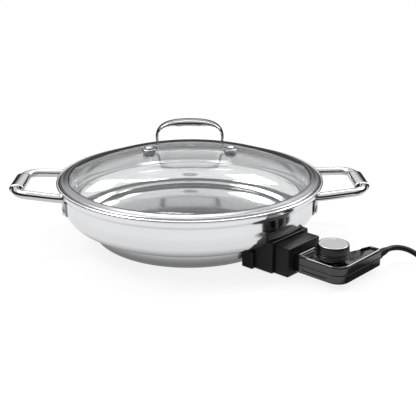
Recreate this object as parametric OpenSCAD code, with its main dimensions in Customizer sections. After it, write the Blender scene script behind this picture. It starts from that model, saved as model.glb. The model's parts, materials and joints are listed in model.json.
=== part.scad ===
// Electric skillet with a lift-off glass lid and a plug-in heat control.
// Millimetres, +Z up. The origin is the middle of the base, on the table.
// The two side handles lie along X, and the control plugs in at the front right.

/* [Pan] */
// Outer diameter over the rim bead
pan_d = 305; // [290:1:340]
// Height of the rim above the table
pan_h = 72; // [68:1:90]
// Thickness of the pan's sheet steel
pan_t = 1.2; // [0.8:0.1:2]
// Outer radius of the curve between the floor and the wall
bowl_r = 29.2; // [26:0.2:36]
// Diameter of the rolled bead at the rim
bead_d = 3.4; // [2.6:0.1:4.5]
// Width of the ledge inside the rim that carries the lid
seat_w = 3.3; // [2.5:0.1:5]
// Depth of that ledge below the top of the rim
seat_drop = 6.5; // [5:0.5:9]

/* [Base] */
// Height of the base cover, from the table to the pan's floor
base_h = 21.8; // [20:0.2:24]
// Radius of the base cover's rounded lower edge
base_round = 18; // [10:0.5:19.5]
// Step from the pan's flat floor in to the base cover
base_inset = 2.8; // [1:0.2:6]
// Thickness of the base cover
cover_t = 1; // [0.6:0.1:1.6]
// Step from the base cover's inside in to the aluminium heat spreader
spreader_step = 9; // [4:0.5:14]
// Thickness of the heat spreader
spreader_t = 6.8; // [5:0.1:7.5]
// Distance of the base's two screws in from the element's ring
post_step = 25; // [16:1:35]
// Diameter of the dimple round a base screw
dimple_d = 18; // [15:0.5:24]
// Depth of that dimple
dimple_h = 3.4; // [3:0.1:4.5]

/* [Heater] */
// Sheath diameter of the heating element
element_d = 6.2; // [5.5:0.1:6.6]
// Distance of the element's ring in from the base cover's side
ring_step = 35; // [28:1:50]
// Distance between the two terminal pins
pin_gap = 22; // [20:0.5:23]
// Diameter of a terminal pin
pin_d = 4; // [3:0.1:4.4]
// Length of a terminal pin outside its sheath
pin_l = 48; // [44:1:54]
// Outer diameter of the ceramic bush round a pin
bush_d = 7; // [6.4:0.1:7.2]
// Length of that bush
bush_l = 10; // [8:0.5:12]
// Outer diameter of the sensor well under the pan
well_d = 7; // [6.4:0.1:7.2]
// Diameter of the control's sensor rod
rod_d = 5; // [4:0.1:5.4]
// Length of the sensor rod in front of the control's nose
rod_l = 87; // [60:1:95]

/* [Socket] */
// Direction of the socket round the pan, in degrees
socket_az = -44; // [-60:1:-30]
// How far the socket's end face stands outside the rim
socket_out = 12.5; // [8:0.5:20]
// Width of the socket at its end face
socket_w = 54; // [46:1:70]
// Width of each step in the socket's sides
socket_step = 4; // [1:0.5:5]
// Height of the socket's top above the table
socket_top = 33.5; // [28:0.5:38]
// Height of the flange that hugs the wall, above the socket's top
flange_rise = 3.5; // [2:0.5:10]
// Gap between the socket and the table
socket_gap = 2; // [1:0.5:4]
// Depth of the socket's mouth
mouth_l = 29; // [24:0.5:32]

/* [Handles] */
// How far a side handle stands outside the rim
handle_out = 51.5; // [45:0.5:70]
// Distance between a handle's two legs at the pan
handle_w = 98; // [80:1:120]
// How much closer the legs are at the grip
handle_taper = 14; // [0:1:20]
// Diameter of a handle's rod
leg_d = 10; // [8:0.5:12]
// Radius of the bend between leg and grip, along the rod's middle
handle_bend = 18.5; // [12:0.5:22]
// Width of the flattened grip
grip_w = 17; // [14:0.5:22]
// Thickness of the flattened grip
grip_t = 11; // [10.5:0.5:14]
// Depth of the legs' middle below the rim
handle_drop = 11; // [9.5:0.5:14]
// How much higher the grip lies than the legs' ends
handle_rise = 3; // [0:0.5:10]
// Width of a handle's foot plate
plate_w = 18; // [14:0.5:24]
// Height of a handle's foot plate
plate_h = 27; // [22:0.5:30]
// Thickness of a handle's foot plate
plate_t = 1.6; // [1:0.1:2.4]
// Shank diameter of a rivet
rivet_d = 5; // [4:0.1:6]
// Head diameter of a rivet
rivet_head_d = 9.5; // [8:0.1:11]

/* [Lid] */
// Height of the lid's steel band
band_h = 7.8; // [7:0.1:10]
// Width of the band, seen from above
band_w = 7.4; // [6:0.1:10]
// Height of the glass dome above the band
dome_h = 29.7; // [20:0.1:40]
// Thickness of the glass
glass_t = 4; // [3:0.1:4.4]
// Height of the lid handle above the glass
grab_h = 36; // [28:0.5:45]
// Distance between the lid handle's two feet
grab_w = 92; // [80:1:110]
// Distance between the lid handle's two legs
grab_legs = 74; // [60:1:76]
// Width of the lid handle's strap in the middle
strap_w = 16; // [12:0.5:22]
// Thickness of the strap
strap_t = 4.4; // [3.5:0.1:6]
// Diameter of a lid handle's foot
foot_d = 17; // [14:0.5:20]
// Shank diameter of the lid handle's screws
lid_screw_d = 4; // [3:0.5:5]
// Distance of the steam vent in from the glass's edge
vent_step = 22; // [18:1:40]
// Flange diameter of the steam vent
vent_d = 13; // [10:0.5:16]

/* [Control] */
// Width of the control's case
case_w = 34; // [32:0.5:44]
// Length of the case, away from the pan
case_l = 58; // [54:0.5:70]
// Height of the case
case_h = 19.5; // [17:0.5:22]
// Wall thickness of the case
case_t = 2; // [1.6:0.1:2.4]
// Radius of the case's front left corner
case_round = 14; // [6:0.5:16]
// Length of the side arm that carries the cord, from the case's middle
arm_l = 58; // [48:1:70]
// Width of the arm at its end
arm_w = 14; // [14:0.5:18]
// Depth of the tray round the knob
tray_h = 2; // [1:0.1:2.6]
// Width of the lip round that tray
lip_w = 4.4; // [2.5:0.1:4.8]
// Distance of the knob from the case's front face
knob_u = 35.5; // [34:0.5:40]
// Diameter of the knob's flange
knob_d = 34.6; // [30:0.2:36]
// Height of the knob
knob_h = 15.5; // [13:0.1:22]
// Diameter of the metal disc on the knob
disc_d = 30.4; // [20:0.2:31]
// Diameter of the knob's shaft
shaft_d = 6; // [5:0.1:6.4]

/* [Cord] */
// Diameter of the mains cord
cord_d = 6; // [5.5:0.1:6.2]
// Length of the strain relief outside the arm
relief_l = 20; // [16:1:30]
// Diameter of the strain relief at the arm
relief_d = 11; // [9:0.5:11.5]
// Width of the tie round the coil
tie_w = 8; // [5:0.5:12]
// Width of the mains plug
plug_w = 26; // [22:0.5:30]
// Length of the mains plug's body
plug_l = 30; // [24:0.5:40]

/* [Hidden] */

$fn = 64;
// Clearance of a round piece in its hole
fit = 0.05;
// Clearance between pieces that are only laid together
gap = 0.1;
// Clearance round a piece that slides out
slide = 0.3;
// Overshoot of a cutting shape
over = 1;

// Pan, from the rim inwards
rim_r = pan_d / 2;
lip_r = rim_r - bead_d;
wall_in = lip_r - seat_w;
wall_out = wall_in + pan_t;
floor_r = wall_out - bowl_r;
bowl_z = base_h + bowl_r;
seat_z = pan_h - seat_drop;
flare_h = lip_r + pan_t - wall_out;
cover_r = floor_r - base_inset;

// Heater and the line of pins, well and rod
spreader_z = base_h - spreader_t;
line_z = spreader_z - element_d / 2 - gap;
spreader_r = cover_r - cover_t - spreader_step;
ring_r = cover_r - ring_step;
post_r = ring_r - post_step;
element_bend = 10;
bend_v = pin_gap / 2 + element_bend;
bend_u = sqrt(pow(ring_r + element_bend, 2) - bend_v * bend_v);
leg_end = cover_r - 6;
post_d = 12;
base_screw_d = 4;
base_head_d = 10;
base_head_h = dimple_h - 2 * slide;

// Socket, measured out from the pan's axis along its direction
face_u = rim_r + socket_out;
flange_u = rim_r - 5.5;
back_u = cover_r + 9;
mouth_u = face_u - mouth_l;
nose_w = pin_gap + 9;
nose_h = 9.4;
screw_u = cover_r + 5;
screw_v = socket_w / 2 - 3;
socket_screw_d = 4;
socket_head_d = 8;
socket_head_h = 2.6;
boss_z = line_z + 0.7;
boss_bore = 3;

// Side handles
grip_x = rim_r + handle_out - grip_w / 2;
leg_z = pan_h - handle_drop;
leg_az = asin(handle_w / 2 / wall_out);
neck_d = leg_d - 2;
shoulder = 2;
grip_l = handle_w - handle_taper - 2 * handle_bend;
plate_top = leg_z + leg_d / 2;
rivet_z = plate_top - plate_h + plate_w / 2 - 1;
rivet_head_h = 2.4;

// Lid: a spherical dome in a steel band that stands on the pan's ledge
band_r = lip_r - 2 * slide - gap;
band_top = seat_z + band_h;
edge_r = band_r - 2.4;
edge_z = seat_z + band_h / 2;
dome_top = band_top + dome_h;
rise = dome_top - glass_t / 2 - edge_z;
dome_r = (edge_r * edge_r + rise * rise) / (2 * rise);
dome_z = dome_top - glass_t / 2 - dome_r;
seal_t = 0.8;
pad_h = 3.4;
foot_z = glass_z(grab_w / 2 - foot_d / 2) + 1;
foot_t = 2.4;
grab_top = dome_top + grab_h;
lid_head_d = 8.5;
lid_head_h = 2.6;
strap_foot = 4.5;
lid_hole_d = lid_screw_d + 2;
washer_d = 13;
washer_t = 1.6;
nut_d = 8.5;
nut_h = 3.4;
vent_r = edge_r - vent_step;
vent_bore = 3.6;
vent_neck = 7;
vent_lip = 1.2;

// Control case: its own middle line is the socket's line
case_u = face_u + slide;
case_end = case_u + case_l;
case_z = line_z - 5.8;
case_top = case_z + case_h;
split_z = case_z + case_h / 2;
tray_z = case_top - tray_h;
ceiling_z = tray_z - case_t;
knob_x = case_u + knob_u;
nose_u = mouth_u + 5;
nose_end = case_u + 7;
sleeve_d = pin_d + 3;
sleeve_end = nose_end + 4;
pedestal_d = 24;
knob_z = tray_z + 3.5;
knob_top = knob_z + knob_h;
waist_h = 2;
waist_in = 2.2;
flange_h = 3.4;
groove_h = 0.9;
groove_in = 1.6;
drum_in = 1.1;
knob_edge = 0.6;
hub_d = 11;
roof_t = 3;
disc_t = 1;
bush_od = 10;
bush_flange_d = 14;
shaft_z = case_z + case_t + 4.2;
case_screw_at = [[case_u + 18, -12], [case_u + 18, 12], [case_end - 8, arm_l - 16]];
case_screw_d = 2.5;
case_head_d = 5.4;
case_head_h = 1.5;
relief_u = case_end - 6.8;
relief_neck = 7.2;
relief_collar = relief_neck + 0.7;
collar_h = 3;
arm_round = 3;
relief_tip = cord_d + 1.4;

// Cord: its steps from the strain relief to the coil, in the control's frame, with the share of
// the height that is left above the table
exit_v = arm_l + relief_l;
coil_z = 4;
lead_steps = [[0, 0, 1], [0, 1, 1], [0.8, 7.2, 1], [3.2, 13, 0.99], [7, 18, 0.94], [12, 21.8, 0.83],
  [17.8, 24.2, 0.66], [24, 25, 0.46], [31.5, 24.2, 0.26], [39.5, 22.2, 0.11], [47.5, 19.6, 0.03],
  [55.5, 17.2, 0], [62.5, 15.6, 0], [68.5, 15, 0], [69.5, 15, 0]];
route = [for (p = lead_steps) [relief_u + p[0], exit_v + p[1], coil_z + (split_z - coil_z) * p[2]]];
lead_end = route[len(route) - 1];

// Coil: spirals in on the table, climbs in the half turn where it reverses, and spirals out on top
coil_r = 39;
coil_turns = 2;
coil_pitch = 6.8;
coil_rings = 24;
coil_c = [lead_end[0] + cord_d, lead_end[1] + coil_r];
coil_in = 360 * coil_turns;
coil_out = coil_in + 180;
coil_all = coil_out + coil_in - 180;
coil_low = coil_r - coil_pitch * coil_turns;
tie_t = 0.6;
tail_l = 30;
tail = [coil_c[0] + tail_l, coil_c[1] - coil_radius(coil_all), coil_z + coil_pitch];

// Plug: its middle lies as high as the cord's upper layer
plug_h = 2 * (tail[2] - 0.4);
plug_neck = 12;
plug_round = 5;
blade_w = 6.3;
blade_t = 1.5;
blade_l = 17.5;
blade_gap = 12.7;

steel = "#c9ccce";
black = "#1b1b1d";

// Height of the glass's outer face at distance r from the middle
function glass_z(r) = dome_z + sqrt(pow(dome_r + glass_t / 2, 2) - r * r);

// Turns a piece into the socket's direction: X runs outwards, Y along the pan's rim
module at_socket() rotate([0, 0, socket_az]) children();

// A round bar along X from a to b at place [v, z]
module bar_x(d, a, b, v, z) translate([a, v, z]) rotate([0, 90, 0]) cylinder(d = d, h = b - a);

// Half section of the pan's outside, grown outwards by g and cut off at height top
module bowl_section(g, top) {
  translate([0, base_h - g]) square([floor_r, top - base_h + g]);
  intersection() {
    translate([floor_r, bowl_z]) circle(r = bowl_r + g);
    translate([0, base_h - g]) square([wall_out + g, bowl_r + g]);
  }
  translate([0, bowl_z]) square([wall_out + g, top - bowl_z]);
}

// The pan's outside as a solid, for pieces that lie against it
module bowl_solid(g) rotate_extrude($fn = 240) bowl_section(g, pan_h, $fn = 240);

// The flare and lip under the rim as a solid, grown by g, for pieces that end there
module flare_solid(g) rotate_extrude($fn = 240) {
  z = seat_z - pan_t - flare_h - sqrt(2) * g;
  polygon([[0, z], [wall_out, z], [lip_r + pan_t + g, z + flare_h + g], [lip_r + pan_t + g, pan_h], [0, pan_h]]);
}

// Half section of the base cover's outside, shrunk by s and cut off at height top
module cover_section(s, top) {
  translate([0, s]) square([cover_r - base_round, top - s]);
  intersection() {
    translate([cover_r - base_round, base_round]) circle(r = base_round - s);
    translate([0, s]) square([cover_r, base_round - s]);
  }
  translate([0, base_round]) square([cover_r - s, top - base_round]);
}

// Places children at the base's two screws
module at_posts() for (s = [-1, 1]) translate([0, s * post_r, 0]) children();

// Vector helpers for swept tubes
function unit(v) = v / norm(v);
function heading(p, i) = unit(p[min(i + 1, len(p) - 1)] - p[max(i - 1, 0)]);
function blend(t) = t * t * (3 - 2 * t);
function arc(c, r, from, to, n) =
  [for (i = [0 : n]) c + r * [cos(from + (to - from) * i / n), sin(from + (to - from) * i / n)]];

// A tube along path. Each ring has half sizes wide[i] (level, or along Y if upright) and high[i].
module tube(path, wide, high, sides, upright = false) {
  last = len(path) - 1;
  rings = [for (i = [0 : last])
    let (t = heading(path, i),
      s = upright ? [0, 1, 0] : unit(cross([0, 0, 1], t)),
      u = cross(t, s))
    for (k = [0 : sides - 1])
      path[i] + wide[i] * cos(360 * k / sides) * s + high[i] * sin(360 * k / sides) * u];
  walls = [for (i = [0 : last - 1]) for (k = [0 : sides - 1])
    let (a = i * sides + k, b = i * sides + (k + 1) % sides, c = b + sides, d = a + sides)
    for (f = [[a, c, b], [a, d, c]]) f];
  caps = [for (k = [1 : sides - 2]) for (f = [[0, k, k + 1],
    [last * sides, last * sides + k + 1, last * sides + k]]) f];
  polyhedron(points = rings, faces = concat(walls, caps), convexity = 6);
}

// Stadium outline, w long in X and h high in Y
module stadium(w, h) {
  square([w - h, h], center = true);
  for (s = [-1, 1]) translate([s * (w - h) / 2, 0]) circle(d = h);
}

// Places children at a rivet: X points out of the pan through the wall
module at_rivets() for (side = [0, 180]) for (s = [-1, 1])
  rotate([0, 0, side + s * leg_az]) translate([0, 0, rivet_z]) children();

module pan_shell() color(steel) difference() {
  rotate_extrude() difference() {
    union() {
      bowl_section(0, seat_z);
      polygon([[floor_r, seat_z - pan_t - flare_h], [wall_out, seat_z - pan_t - flare_h],
        [lip_r + pan_t, seat_z - pan_t], [lip_r + pan_t, seat_z], [floor_r, seat_z]]);
      translate([lip_r, seat_z - pan_t]) square([pan_t, seat_drop + pan_t - 0.8 * bead_d]);
      translate([rim_r - bead_d / 2, pan_h - bead_d / 2]) circle(d = bead_d);
    }
    bowl_section(-pan_t, seat_z + over);
  }
  at_rivets() rotate([45, 0, 0]) bar_x(rivet_d + 2 * fit, floor_r, rim_r, 0, 0);
}

module heat_spreader() color("#b9bcc0") difference() {
  translate([0, 0, spreader_z]) cylinder(r = spreader_r, h = spreader_t);
  at_socket() bar_x(well_d + 2 * gap, well_u() - gap, rim_r, 0, line_z);
}

// Middle line of the element: an open ring whose two ends bend outwards to the socket
function element_path() =
  let (open = atan2(bend_v, bend_u),
    end = concat([[leg_end, pin_gap / 2]], arc([bend_u, bend_v], element_bend, -90, open - 180, 5)),
    ring = arc([0, 0], ring_r, open, 360 - open, 44),
    start = [for (p = end) [p[0], -p[1]]])
  [for (p = concat(end, [for (i = [1 : 43]) ring[i]], [for (i = [5 : -1 : 0]) start[i + 1]], [start[0]]))
    [p[0], p[1], line_z]];

module heating_element() color("#5c5a57") at_socket() {
  path = element_path();
  size = [for (p = path) element_d / 2];
  tube(path, size, size, 10);
}

module terminal_pins() color("#c8c2b0") at_socket() for (s = [-1, 1])
  bar_x(pin_d, leg_end, leg_end + pin_l, s * pin_gap / 2, line_z);

module pin_bushes() color("#e8e2d4") at_socket() for (s = [-1, 1]) difference() {
  bar_x(bush_d, leg_end + gap, leg_end + gap + bush_l, s * pin_gap / 2, line_z);
  bar_x(pin_d + 2 * fit, leg_end - over, leg_end + bush_l + 2 * over, s * pin_gap / 2, line_z);
}

// Inner end of the sensor well, just past the tip of the sensor rod
function well_u() = nose_u - rod_l - slide - pan_t;

module sensor_well() color("#b8b4aa") at_socket() difference() {
  bar_x(well_d, well_u(), mouth_u - over, 0, line_z);
  bar_x(rod_d + 2 * slide, well_u() + pan_t, mouth_u, 0, line_z);
}

module base_cover() color(steel) difference() {
  union() {
    rotate_extrude() difference() {
      cover_section(0, base_h);
      cover_section(cover_t, base_h + over);
    }
    at_posts() cylinder(d = dimple_d + 2 * cover_t, h = dimple_h + cover_t);
  }
  at_posts() {
    translate([0, 0, -over]) cylinder(d = dimple_d, h = dimple_h + over);
    cylinder(d = base_screw_d + 2 * gap, h = base_h);
  }
  at_socket() {
    for (s = [-1, 1]) bar_x(bush_d + 2 * gap, leg_end, rim_r, s * pin_gap / 2, line_z);
    bar_x(well_d + 2 * gap, leg_end, rim_r, 0, line_z);
  }
}

module base_posts() color("#9a9da0") at_posts() difference() {
  translate([0, 0, dimple_h + cover_t]) cylinder(d = post_d, h = spreader_z - dimple_h - cover_t);
  cylinder(d = base_screw_d + 2 * fit, h = spreader_z - over);
}

module base_screws() color("#a9acae") at_posts() translate([0, 0, dimple_h - base_head_h]) {
  cylinder(d = base_head_d, h = base_head_h);
  cylinder(d = base_screw_d, h = spreader_z - dimple_h);
}

// A block of the socket from u = a to b, with its sides at v = w / 2, up to height top
module socket_block(a, b, w, top) translate([a, -w / 2, socket_gap]) cube([b - a, w, top - socket_gap]);

module socket_housing() color(black) difference() {
  at_socket() {
    socket_block(cover_r / 2, back_u, socket_w + 4 * socket_step, bowl_z);
    socket_block(back_u - over, flange_u, socket_w + 2 * socket_step, socket_top + flange_rise);
    socket_block(flange_u - over, face_u, socket_w, socket_top);
  }
  bowl_solid(slide);
  cylinder(r = cover_r + slide, h = base_h + over);
  at_socket() {
    translate([mouth_u, -nose_w / 2 - slide, line_z - nose_h / 2 - slide])
      cube([mouth_l + over, nose_w + 2 * slide, nose_h + 2 * slide]);
    bar_x(well_d + 2 * gap, floor_r / 2, mouth_u + over, 0, line_z);
    for (s = [-1, 1]) {
      bar_x(pin_d + 2 * slide, floor_r / 2, mouth_u + over, s * pin_gap / 2, line_z);
      bar_x(bush_d + 2 * gap, floor_r / 2, leg_end + bush_l + 2 * gap, s * pin_gap / 2, line_z);
      translate([screw_u, s * screw_v, 0]) {
        cylinder(d = socket_screw_d + 2 * gap, h = base_h);
        cylinder(d = socket_head_d + 2 * slide, h = socket_gap + socket_head_h + slide);
        translate([0, 0, boss_z - gap]) cylinder(d = socket_head_d + 2 * slide, h = bowl_r);
      }
    }
  }
}

module socket_bosses() color("#9a9da0") difference() {
  at_socket() for (s = [-1, 1]) translate([screw_u, s * screw_v, boss_z]) difference() {
    cylinder(d = socket_head_d, h = bowl_r / 2);
    translate([0, 0, -over]) cylinder(d = socket_screw_d + 2 * fit, h = boss_bore + over);
  }
  bowl_solid(fit);
}

module socket_screws() color("#a9acae") at_socket() for (s = [-1, 1])
  translate([screw_u, s * screw_v, socket_gap + slide]) {
    cylinder(d = socket_head_d, h = socket_head_h);
    cylinder(d = socket_screw_d, h = boss_z + boss_bore - 2 * slide - socket_gap - slide);
  }

// Middle line of the right handle's rod, from the front leg round to the back leg
function handle_path() =
  let (e = handle_w / 2 - handle_taper / 2, x0 = wall_in * cos(leg_az),
    lean = atan2(handle_taper / 2, grip_x - x0),
    c = [grip_x - handle_bend, -e + handle_bend],
    bend = arc(c, handle_bend, lean - 90, 0, 8),
    front = concat([[x0, -handle_w / 2]], bend, [[grip_x, -grip_l / 2 + shoulder / 2], [grip_x, -grip_l / 2 + shoulder]]),
    back = [for (i = [len(front) - 1 : -1 : 0]) [front[i][0], -front[i][1]]])
  [for (p = concat(front, back))
    [p[0], p[1], leg_z + handle_rise * blend((p[0] - x0) / (grip_x - x0))]];

// One side handle: the rod narrows where the grip is fitted over it
module handle_rod() difference() {
  path = handle_path();
  size = [for (p = path) (abs(p[1]) < grip_l / 2 - 0.75 * shoulder ? neck_d : leg_d) / 2];
  tube(path, size, size, 20);
  bowl_solid(plate_t + fit);
  flare_solid(fit);
}

module handle_left() color(steel) rotate([0, 0, 180]) handle_rod();
module handle_right() color(steel) handle_rod();

module grip() translate([grip_x, 0, leg_z + handle_rise]) rotate([90, 0, 0]) difference() {
  linear_extrude(height = grip_l - 2 * slide, center = true) stadium(grip_w, grip_t);
  cylinder(d = neck_d + 2 * fit, h = grip_l, center = true);
  for (s = [-1, 1]) translate([0, 0, s * grip_l / 2])
    cylinder(d = leg_d + 2 * fit, h = 2 * (shoulder + gap), center = true);
}

module grip_left() color(steel) rotate([0, 0, 180]) grip();
module grip_right() color(steel) grip();

// Two foot plates of one handle: a round-bottomed tongue cut from a shell round the pan's wall
module foot_plates(side) intersection() {
  difference() {
    bowl_solid(plate_t);
    bowl_solid(fit);
    flare_solid(fit);
  }
  for (s = [-1, 1]) rotate([0, 0, side + s * leg_az]) difference() {
    translate([floor_r, 0, 0]) rotate([90, 0, 90]) linear_extrude(height = rim_r - floor_r) {
      translate([-plate_w / 2, plate_top - plate_h + plate_w / 2])
        square([plate_w, plate_h - plate_w / 2]);
      translate([0, plate_top - plate_h + plate_w / 2]) circle(d = plate_w);
    }
    bar_x(rivet_d + 2 * fit, floor_r - over, rim_r + over, 0, rivet_z);
  }
}

module foot_plates_left() color(steel) foot_plates(180);
module foot_plates_right() color(steel) foot_plates(0);

module handle_rivets() color(steel) {
  difference() {
    at_rivets() bar_x(rivet_head_d, floor_r, wall_out + plate_t + rivet_head_h - 1, 0, 0);
    bowl_solid(plate_t + fit);
  }
  intersection() {
    at_rivets() bar_x(rivet_d, wall_in - rivet_head_h, wall_out + plate_t + 1, 0, 0);
    rotate_extrude() translate([wall_in - rivet_head_h - 2, 0]) square([rim_r, pan_h]);
  }
  intersection() {
    at_rivets() bar_x(rivet_head_d, wall_in - rivet_head_h, rim_r, 0, 0);
    bowl_solid(-pan_t - fit);
  }
}

// Half section of the glass, grown by g on every side
module glass_section(g) intersection() {
  translate([0, dome_z]) difference() {
    circle(r = dome_r + glass_t / 2 + g, $fn = 256);
    circle(r = dome_r - glass_t / 2 - g, $fn = 256);
  }
  translate([0, seat_z]) square([edge_r + g, dome_top]);
}

// The dome as a solid up to the sphere of radius r, for pieces that lie against the glass
module dome_solid(r) translate([0, 0, dome_z]) rotate_extrude($fn = 360) intersection() {
  circle(r = r, $fn = 1440);
  translate([0, r / 2]) square([r, r]);
}

// Places children at both feet of the lid handle, or at the vent along the glass's own slope
module at_feet() for (s = [-1, 1]) translate([s * grab_w / 2, 0, 0]) children();
module at_vent() translate([0, 0, dome_z]) rotate([-asin(vent_r / dome_r), 0, 0])
  translate([0, 0, dome_r]) children();

module lid_glass() color("#dfe7ea", 0.35) difference() {
  rotate_extrude() glass_section(0);
  at_feet() cylinder(d = lid_hole_d, h = 2 * dome_top);
  at_vent() cylinder(d = vent_neck + 2 * fit, h = 4 * glass_t, center = true);
}

module lid_seal() color("#3a3a3c") rotate_extrude() difference() {
  intersection() {
    glass_section(seal_t);
    translate([band_r - band_w - seal_t / 2, seat_z]) square([band_w, band_h + seal_t]);
  }
  glass_section(fit);
}

module lid_band() color(steel) rotate_extrude() difference() {
  union() {
    translate([band_r - band_w, seat_z]) square([band_w - 3, band_h]);
    translate([band_r - band_w, seat_z]) square([band_w, band_h - 3]);
    translate([band_r - 3, band_top - 3]) circle(r = 3);
  }
  glass_section(seal_t + fit);
}

// Middle line of the lid handle's strap: flat on each foot, up the leg and over the arch
function bezier(a, b, c, d, n) = [for (i = [0 : n]) let (t = i / n)
  pow(1 - t, 3) * a + 3 * t * pow(1 - t, 2) * b + 3 * t * t * (1 - t) * c + pow(t, 3) * d];
function grab_half() =
  let (z0 = foot_z + foot_t / 2, z1 = grab_top - strap_t / 2, leg = grab_legs / 2,
    knee = [-leg, z0 + (z1 - z0) * 0.36])
  concat([[-grab_w / 2, z0]],
    bezier([-grab_w / 2 + lid_head_d / 2 + 0.75, z0], [-leg, z0], [-leg + 1, z0 + 3], knee, 8),
    [for (i = [1 : 10]) bezier(knee, [-leg - 1, z0 + (z1 - z0) * 0.8], [-leg + 10, z1], [0, z1], 10)[i]]);
function grab_path() = let (h = grab_half(), n = len(h))
  [for (i = [0 : 2 * n - 2]) i < n ? [h[i][0], 0, h[i][1]] : [-h[2 * n - 2 - i][0], 0, h[2 * n - 2 - i][1]]];

module lid_handle() color(steel) difference() {
  union() {
    path = grab_path();
    z0 = path[0][2];
    up = [for (p = path) blend((p[2] - z0) / (grab_top - strap_t / 2 - z0))];
    wide = [for (k = up) strap_foot + (strap_w / 2 - strap_foot) * k];
    high = [for (k = up) foot_t / 2 - gap + ((strap_t - foot_t) / 2 + gap) * k];
    tube(path, wide, high, 16, upright = true);
    at_feet() translate([0, 0, foot_z]) cylinder(d = foot_d, h = foot_t);
  }
  at_feet() cylinder(d = lid_screw_d + 2 * fit, h = 2 * dome_top);
}

module lid_handle_pads() color("#2a2a2c") difference() {
  at_feet() translate([0, 0, foot_z - pad_h]) cylinder(d = foot_d - 1, h = pad_h - fit);
  dome_solid(dome_r + glass_t / 2 + fit);
  at_feet() cylinder(d = lid_screw_d + 2 * fit, h = 2 * dome_top);
}

// Height of the glass's inner face at a foot's outer edge: washers start from there
under_z = dome_z + sqrt(pow(dome_r - glass_t / 2, 2) - pow(grab_w / 2 + washer_d / 2, 2));

module lid_screws() color("#b4b7ba") at_feet() {
  translate([0, 0, foot_z + foot_t]) intersection() {
    cylinder(d = lid_head_d, h = lid_head_h);
    translate([0, 0, lid_head_h - lid_head_d]) sphere(r = lid_head_d);
  }
  translate([0, 0, under_z - washer_t - nut_h])
    cylinder(d = lid_screw_d, h = foot_z + foot_t + 1 - under_z + washer_t + nut_h);
}

module lid_washers() color("#2a2a2c") difference() {
  intersection() {
    at_feet() translate([0, 0, under_z - washer_t]) cylinder(d = washer_d, h = glass_t);
    dome_solid(dome_r - glass_t / 2 - fit);
  }
  at_feet() cylinder(d = lid_screw_d + 2 * fit, h = 2 * dome_top);
}

module lid_nuts() color("#b4b7ba") at_feet() translate([0, 0, under_z - washer_t - nut_h]) difference() {
  cylinder(d = nut_d, h = nut_h, $fn = 6);
  translate([0, 0, -over]) cylinder(d = lid_screw_d + 2 * fit, h = nut_h + 2 * over);
}

module steam_vent() color(steel) at_vent() difference() {
  union() {
    cylinder(d = vent_neck, h = glass_t + 2 * vent_lip, center = true);
    translate([0, 0, glass_t / 2 + gap]) cylinder(d = vent_d, h = vent_lip - gap);
    translate([0, 0, -glass_t / 2 - vent_lip]) cylinder(d = vent_d - 1, h = vent_lip - gap);
  }
  cylinder(d = vent_bore, h = 4 * glass_t, center = true);
}

// Outline of the control's case from above, with its walls moved in by d and the arm's inner side by e
function case_outline(d, e) =
  let (h = case_w / 2, a = [case_end - arm_w - 14, h], b = [case_end - arm_w, arm_l],
    t = unit(b - a), n = [t[1], -t[0]], arm_in = max(arm_round, d + 1),
    at = function (v) a + t * ((v - a[1] - e * n[1]) / t[1]) + e * n)
  concat([[case_u + d, -h + d]],
    arc([case_end - case_round, -h + case_round], case_round - d, -90, 0, 10),
    arc([case_end - arm_in, arm_l - arm_in], arm_in - d, 0, 90, 5),
    [at(arm_l - d), at(h - d), [case_u + d, h - d]]);

// A slab of the case between two heights, with its walls moved in by d
module case_slab(d, from, to) translate([0, 0, from]) linear_extrude(height = to - from)
  polygon(case_outline(d, d));

// What is cut from both halves of the case: the nose, the strain relief and a shallow side panel
module case_cuts() {
  translate([case_u - over, -nose_w / 2 - gap, line_z - nose_h / 2 - gap])
    cube([nose_end + gap - case_u + over, nose_w + 2 * gap, nose_h + 2 * gap]);
  translate([relief_u, arm_l - case_t - over, split_z]) rotate([-90, 0, 0])
    cylinder(d = relief_neck + 2 * gap, h = case_t + 2 * over);
  translate([case_u + case_l * 0.44, -case_w / 2 + 0.8, split_z]) rotate([90, 0, 0])
    linear_extrude(height = over) stadium(case_l * 0.6, case_h * 0.56);
}

module case_lower() color(black) at_socket() difference() {
  union() {
    difference() {
      case_slab(0, case_z, split_z);
      case_slab(case_t, case_z + case_t, split_z + over);
    }
    for (p = case_screw_at) translate([p[0], p[1], case_z]) cylinder(d = case_head_d + 1.6, h = case_t + 2);
  }
  case_cuts();
  for (p = case_screw_at) translate([p[0], p[1], case_z - over]) {
    cylinder(d = case_screw_d + 2 * gap, h = case_h);
    cylinder(d = case_head_d + 2 * gap, h = over + case_head_h + gap);
  }
}

module case_upper() color(black) at_socket() difference() {
  union() {
    difference() {
      case_slab(0, split_z, case_top);
      case_slab(case_t, split_z - over, ceiling_z);
      translate([0, 0, tray_z]) linear_extrude(height = tray_h + over) polygon(case_outline(lip_w, -over));
    }
    translate([knob_x, 0, ceiling_z]) cylinder(d = pedestal_d, h = knob_z - slide - ceiling_z);
    for (p = case_screw_at) translate([p[0], p[1], case_z + case_t + 2 + gap])
      cylinder(d = case_head_d, h = ceiling_z - case_z - case_t - 2);
  }
  case_cuts();
  translate([knob_x, 0, 0]) cylinder(d = bush_od + 2 * fit, h = case_top + 10);
  for (p = case_screw_at) translate([p[0], p[1], 0]) cylinder(d = case_screw_d + 2 * fit, h = ceiling_z - over);
}

module case_screws() color("#8f9295") at_socket() for (p = case_screw_at) translate([p[0], p[1], case_z]) {
  cylinder(d = case_head_d, h = case_head_h);
  cylinder(d = case_screw_d, h = ceiling_z - case_z - 2 * over);
}

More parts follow.
